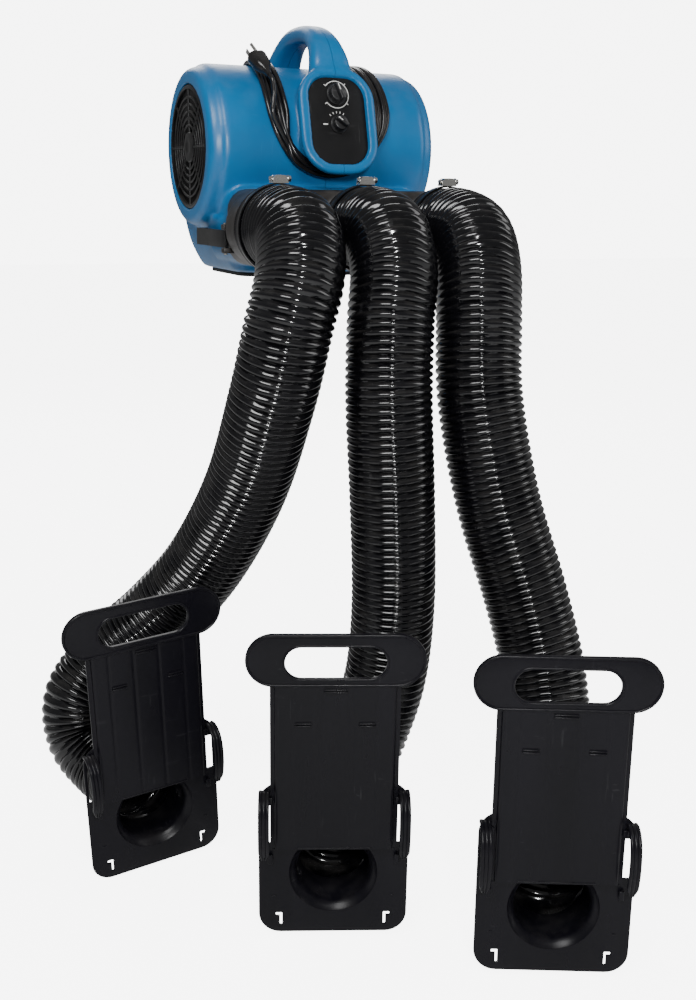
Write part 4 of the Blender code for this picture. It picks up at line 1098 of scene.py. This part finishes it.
def hook_rows(sign):
    """Strap hook: a flat section with three ribs on its face, carried along a curve that leaves
    the plate, rises over and turns down."""
    path = smooth_path([(-0.0015, 0.1960), (0.0040, 0.1972), (0.0085, 0.1975), (0.0190, 0.1940),
                        (0.0270, 0.1850), (0.0310, 0.1710), (0.0315, 0.1530), (0.0285, 0.1360),
                        (0.0225, 0.1180)], 5)
    out, v = path.T
    slope = np.arctan2(np.gradient(v), np.gradient(out))
    u = np.linspace(0.0780, 0.0915, 19)
    ribs = 0.0010 + 0.0011 * np.abs(np.sin((u - 0.0780) / 0.0135 * 3 * pi)) ** 0.7
    ribs[[0, -1]] = 0.0006
    section = np.concatenate([np.stack([u, ribs], -1), np.stack([u[::-3], np.full(7, -0.0013)], -1)])
    taper = 1.0 - 0.55 * step_up(np.arange(len(out)), len(out) - 4, len(out) - 1)
    rows = []
    for o, w, a, k in zip(out, v, slope, taper):
        middle = 0.08475
        across = middle + (section[:, 0] - middle) * k
        rows.append(np.stack([sign * across, -o + section[:, 1] * sin(a), w + section[:, 1] * cos(a)], -1))
    return grid(rows)


def make_bracket(name):
    """Outlet plate: rounded sheet with windows and corner slots, a funnel, hooks and guides."""
    sheet = rounded_slab(0.184, 0.208, 0.027, 0.0, 0.003, 1, 0.0009, 0.0, 0.104, 9)
    plate = mesh_object("outlet_plate_" + name, [sheet], PLATE)
    hole = prism(rounded_rect(0.1104, 0.1104, 0.0552, 20, 0.0, HOLE_V), 1, -0.01, 0.02)
    combine(plate, [hole], "DIFFERENCE")
    for sign in (-1, 1):
        for u0, u1, v0, v1 in ((0.0755, 0.0880, 0.126, 0.178), (0.0630, 0.0660, 0.010, 0.028),
                               (0.0630, 0.0710, 0.023, 0.028)):
            cut = rounded_rect(u1 - u0, v1 - v0, 0.0008, 2, sign * (u0 + u1) / 2, (v0 + v1) / 2)
            combine(plate, [prism(cut, 1, -0.02, 0.02)], "DIFFERENCE")
    funnel = [(0.0002, 0.0545), (0.0000, 0.0556), (0.0008, 0.0566), (0.0040, 0.0572), (0.0060, 0.0560),
              (0.0090, 0.0515), (0.0130, 0.0490), (0.0580, 0.0490), (0.0580, 0.0455), (0.0120, 0.0455),
              (0.0085, 0.0468), (0.0045, 0.0505), (0.0015, 0.0538)]
    turn = Matrix.Translation((0, 0, HOLE_V)) @ Matrix.Rotation(pi / 2, 4, "Z")
    shells = moved(turn, [grid(turned(funnel, 72), ring=True)])
    for sign in (-1, 1):
        shells.append(hook_rows(sign))
        for v0, v1 in ((0.100, 0.112), (0.183, 0.191)):
            shells.append(block((sign * 0.0782, 0.001, v0), (sign * 0.0805, -0.0054, v1), 0.0004))
            shells.append(block((sign * 0.0745, -0.0034, v0), (sign * 0.0804, -0.0056, v1), 0.0005))
        for v in (0.052, 0.118, 0.200):
            low, high = (sign * 0.0705, 0.0005, v - 0.0008), (sign * 0.0755, -0.0007, v + 0.0008)
            shells.append(block(low, high, 0.0003))
    extras = mesh_object("plate_fittings", shells, PLATE, 40)
    join_into(plate, extras)
    plate.data.transform(plate_matrix(name))
    finished(plate, PLATE, 38)
    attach(plate, "dryer")
    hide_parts("outlet_bracket_" + name)


def gate_channel():
    """Hat-section sheet of the gate: soft bends and faint lengthwise swages. The sheet's two faces
    run at the same sideways places, so they close on each other end to end."""
    side = smooth_path([(-0.0775, -0.0029), (-0.0740, -0.0031), (-0.0722, -0.0036), (-0.0717, -0.0058),
                        (-0.0709, -0.0078), (-0.0682, -0.0088)], 4)
    u = np.linspace(-0.067, 0.067, 80)
    swage = np.exp(-((np.abs(u) - 0.050) / 0.0016) ** 2) + np.exp(-((np.abs(u) - 0.017) / 0.0016) ** 2)
    face = np.stack([u, -0.0088 + 0.0005 * swage], -1)
    front = np.vstack([side, face, side[::-1] * (-1, 1)])
    ahead = unit(np.gradient(front, axis=0))
    back = front + 0.0015 * np.stack([-ahead[:, 1], ahead[:, 0]], -1)
    outline = np.vstack([front, back[::-1]])
    return ribbon_grid([lift(outline, 2, v) for v in (0.122, 0.1226, 0.200, 0.300, 0.344)])


def bead(outline, axis_level, radius):
    """Rolled edge: a round wire along a closed outline that faces Y."""
    closed = np.vstack([outline, outline[:1]])
    line = even(closed, 0.003)[:-1]
    ahead = unit(np.roll(line, -1, axis=0) - np.roll(line, 1, axis=0))
    away = np.stack([ahead[:, 1], -ahead[:, 0]], -1)
    turn = np.linspace(0, 2 * pi, 10, endpoint=False)
    rows = np.stack([line[:, :1] + radius * away[:, :1] * np.cos(turn), axis_level + radius * np.sin(turn)
                     + 0 * line[:, :1], line[:, 1:] + radius * away[:, 1:] * np.cos(turn)], -1)
    return grid(rows, ring=True)


def make_gate(name):
    """Slide gate: channel, pull bar with rolled rims, finger slot and raised stops."""
    gate = mesh_object("pull_gate_" + name, [rounded_slab(0.212, 0.066, 0.0329, -0.0093, -0.0045, 1, 0.0012,
                                                          0.0, 0.372, 14)], PLATE)
    slot = rounded_rect(0.120, 0.040, 0.0199, 10, 0.0, 0.369)
    combine(gate, [prism(slot, 1, -0.02, 0.01)], "DIFFERENCE")
    shells = [gate_channel(), bead(rounded_rect(0.2085, 0.0625, 0.0312, 16, 0.0, 0.372), -0.0090, 0.0018),
              bead(rounded_rect(0.1225, 0.0425, 0.0212, 16, 0.0, 0.369), -0.0088, 0.0017)]
    for u, v, w in ((0.0, 0.3335, 0.028), (-0.038, 0.290, 0.020), (0.038, 0.290, 0.020)):
        shells += [block((u - w / 2, -0.0082, v + d - 0.0009), (u + w / 2, -0.0110, v + d + 0.0009), 0.0008)
                   for d in (-0.0016, 0.0016)]
    shells.append(block((-0.046, -0.0082, 0.1232), (0.046, -0.0096, 0.1250), 0.0006))
    extras = mesh_object("gate_rims", shells, PLATE, 50)
    join_into(gate, extras)
    gate.data.transform(plate_matrix(name))
    finished(gate, PLATE, 38)
    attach(gate, "gate_" + name)
    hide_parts("slide_gate_" + name)


# ---------------------------------------------------------------- assembly

def make_gland():
    """Moulded strain relief with ridges that grow smaller towards its tip."""
    stations = smooth_path([(0.1090, 0.0070), (0.1200, 0.0070), (0.1203, 0.0099), (0.1238, 0.0099),
                            (0.1243, 0.0068), (0.1350, 0.0058), (0.1460, 0.0048)], 6)
    y, r = stations.T
    r = r - 0.0008 * (np.sin((y - 0.1243) * 2 * pi / 0.0042) > 0.2) * (y > 0.126) * (y < 0.144)
    rows = [lift(rounded_rect(2 * k, 2 * k, k, 8, CORD_EXIT[0], CORD_EXIT[2]), 1, at)
            for at, k in zip(y, r)]
    gland = mesh_object("cord_gland", [grid(rows)], CORD, 45)
    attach(gland, "dryer")
    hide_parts("cord_strain_relief")


make_camera()
make_studio()
for hose_name in NECKS:
    make_hose(hose_name)
make_mains_cord()
make_housing()
for side_name, side_sign in (("left", -1), ("right", 1)):
    make_guard(side_name, side_sign)
    make_wheel(side_name, side_sign)
    eased_copy("latch_arm_" + side_name, "latch_lever_" + side_name, 0.0006, GUARD)
    eased_copy("latch_keeper_" + side_name, "latch_catch_" + side_name, 0.0006, GUARD)
    finish_node("latch_pin_" + side_name, STEEL)
make_panel()
make_knob("timer_knob", "timer_dial", "timer_dial", TIMER_V, 0.0145, 0.0125, -20)
make_knob("speed_knob", "speed_dial", "speed_dial", SPEED_V, 0.0125, 0.0105, -55)
make_manifold()
make_gland()
for hose_name in NECKS:
    make_clamp("neck_clamp_" + hose_name)
    make_bracket(hose_name)
    make_gate(hose_name)
for node_name, node_material in (("motor", MOTOR), ("motor_yoke", MOTOR), ("motor_shaft", STEEL),
                                 ("run_capacitor", STEEL), ("timer_body", WHEEL), ("speed_switch", WHEEL),
                                 ("manifold_seal", RUBBER), ("power_plug_blade_a", STEEL),
                                 ("power_plug_blade_b", STEEL), ("power_plug_ground_pin", STEEL)):
    finish_node(node_name, node_material)
eased_copy("base_pad", "rubber_foot", 0.0012, RUBBER)
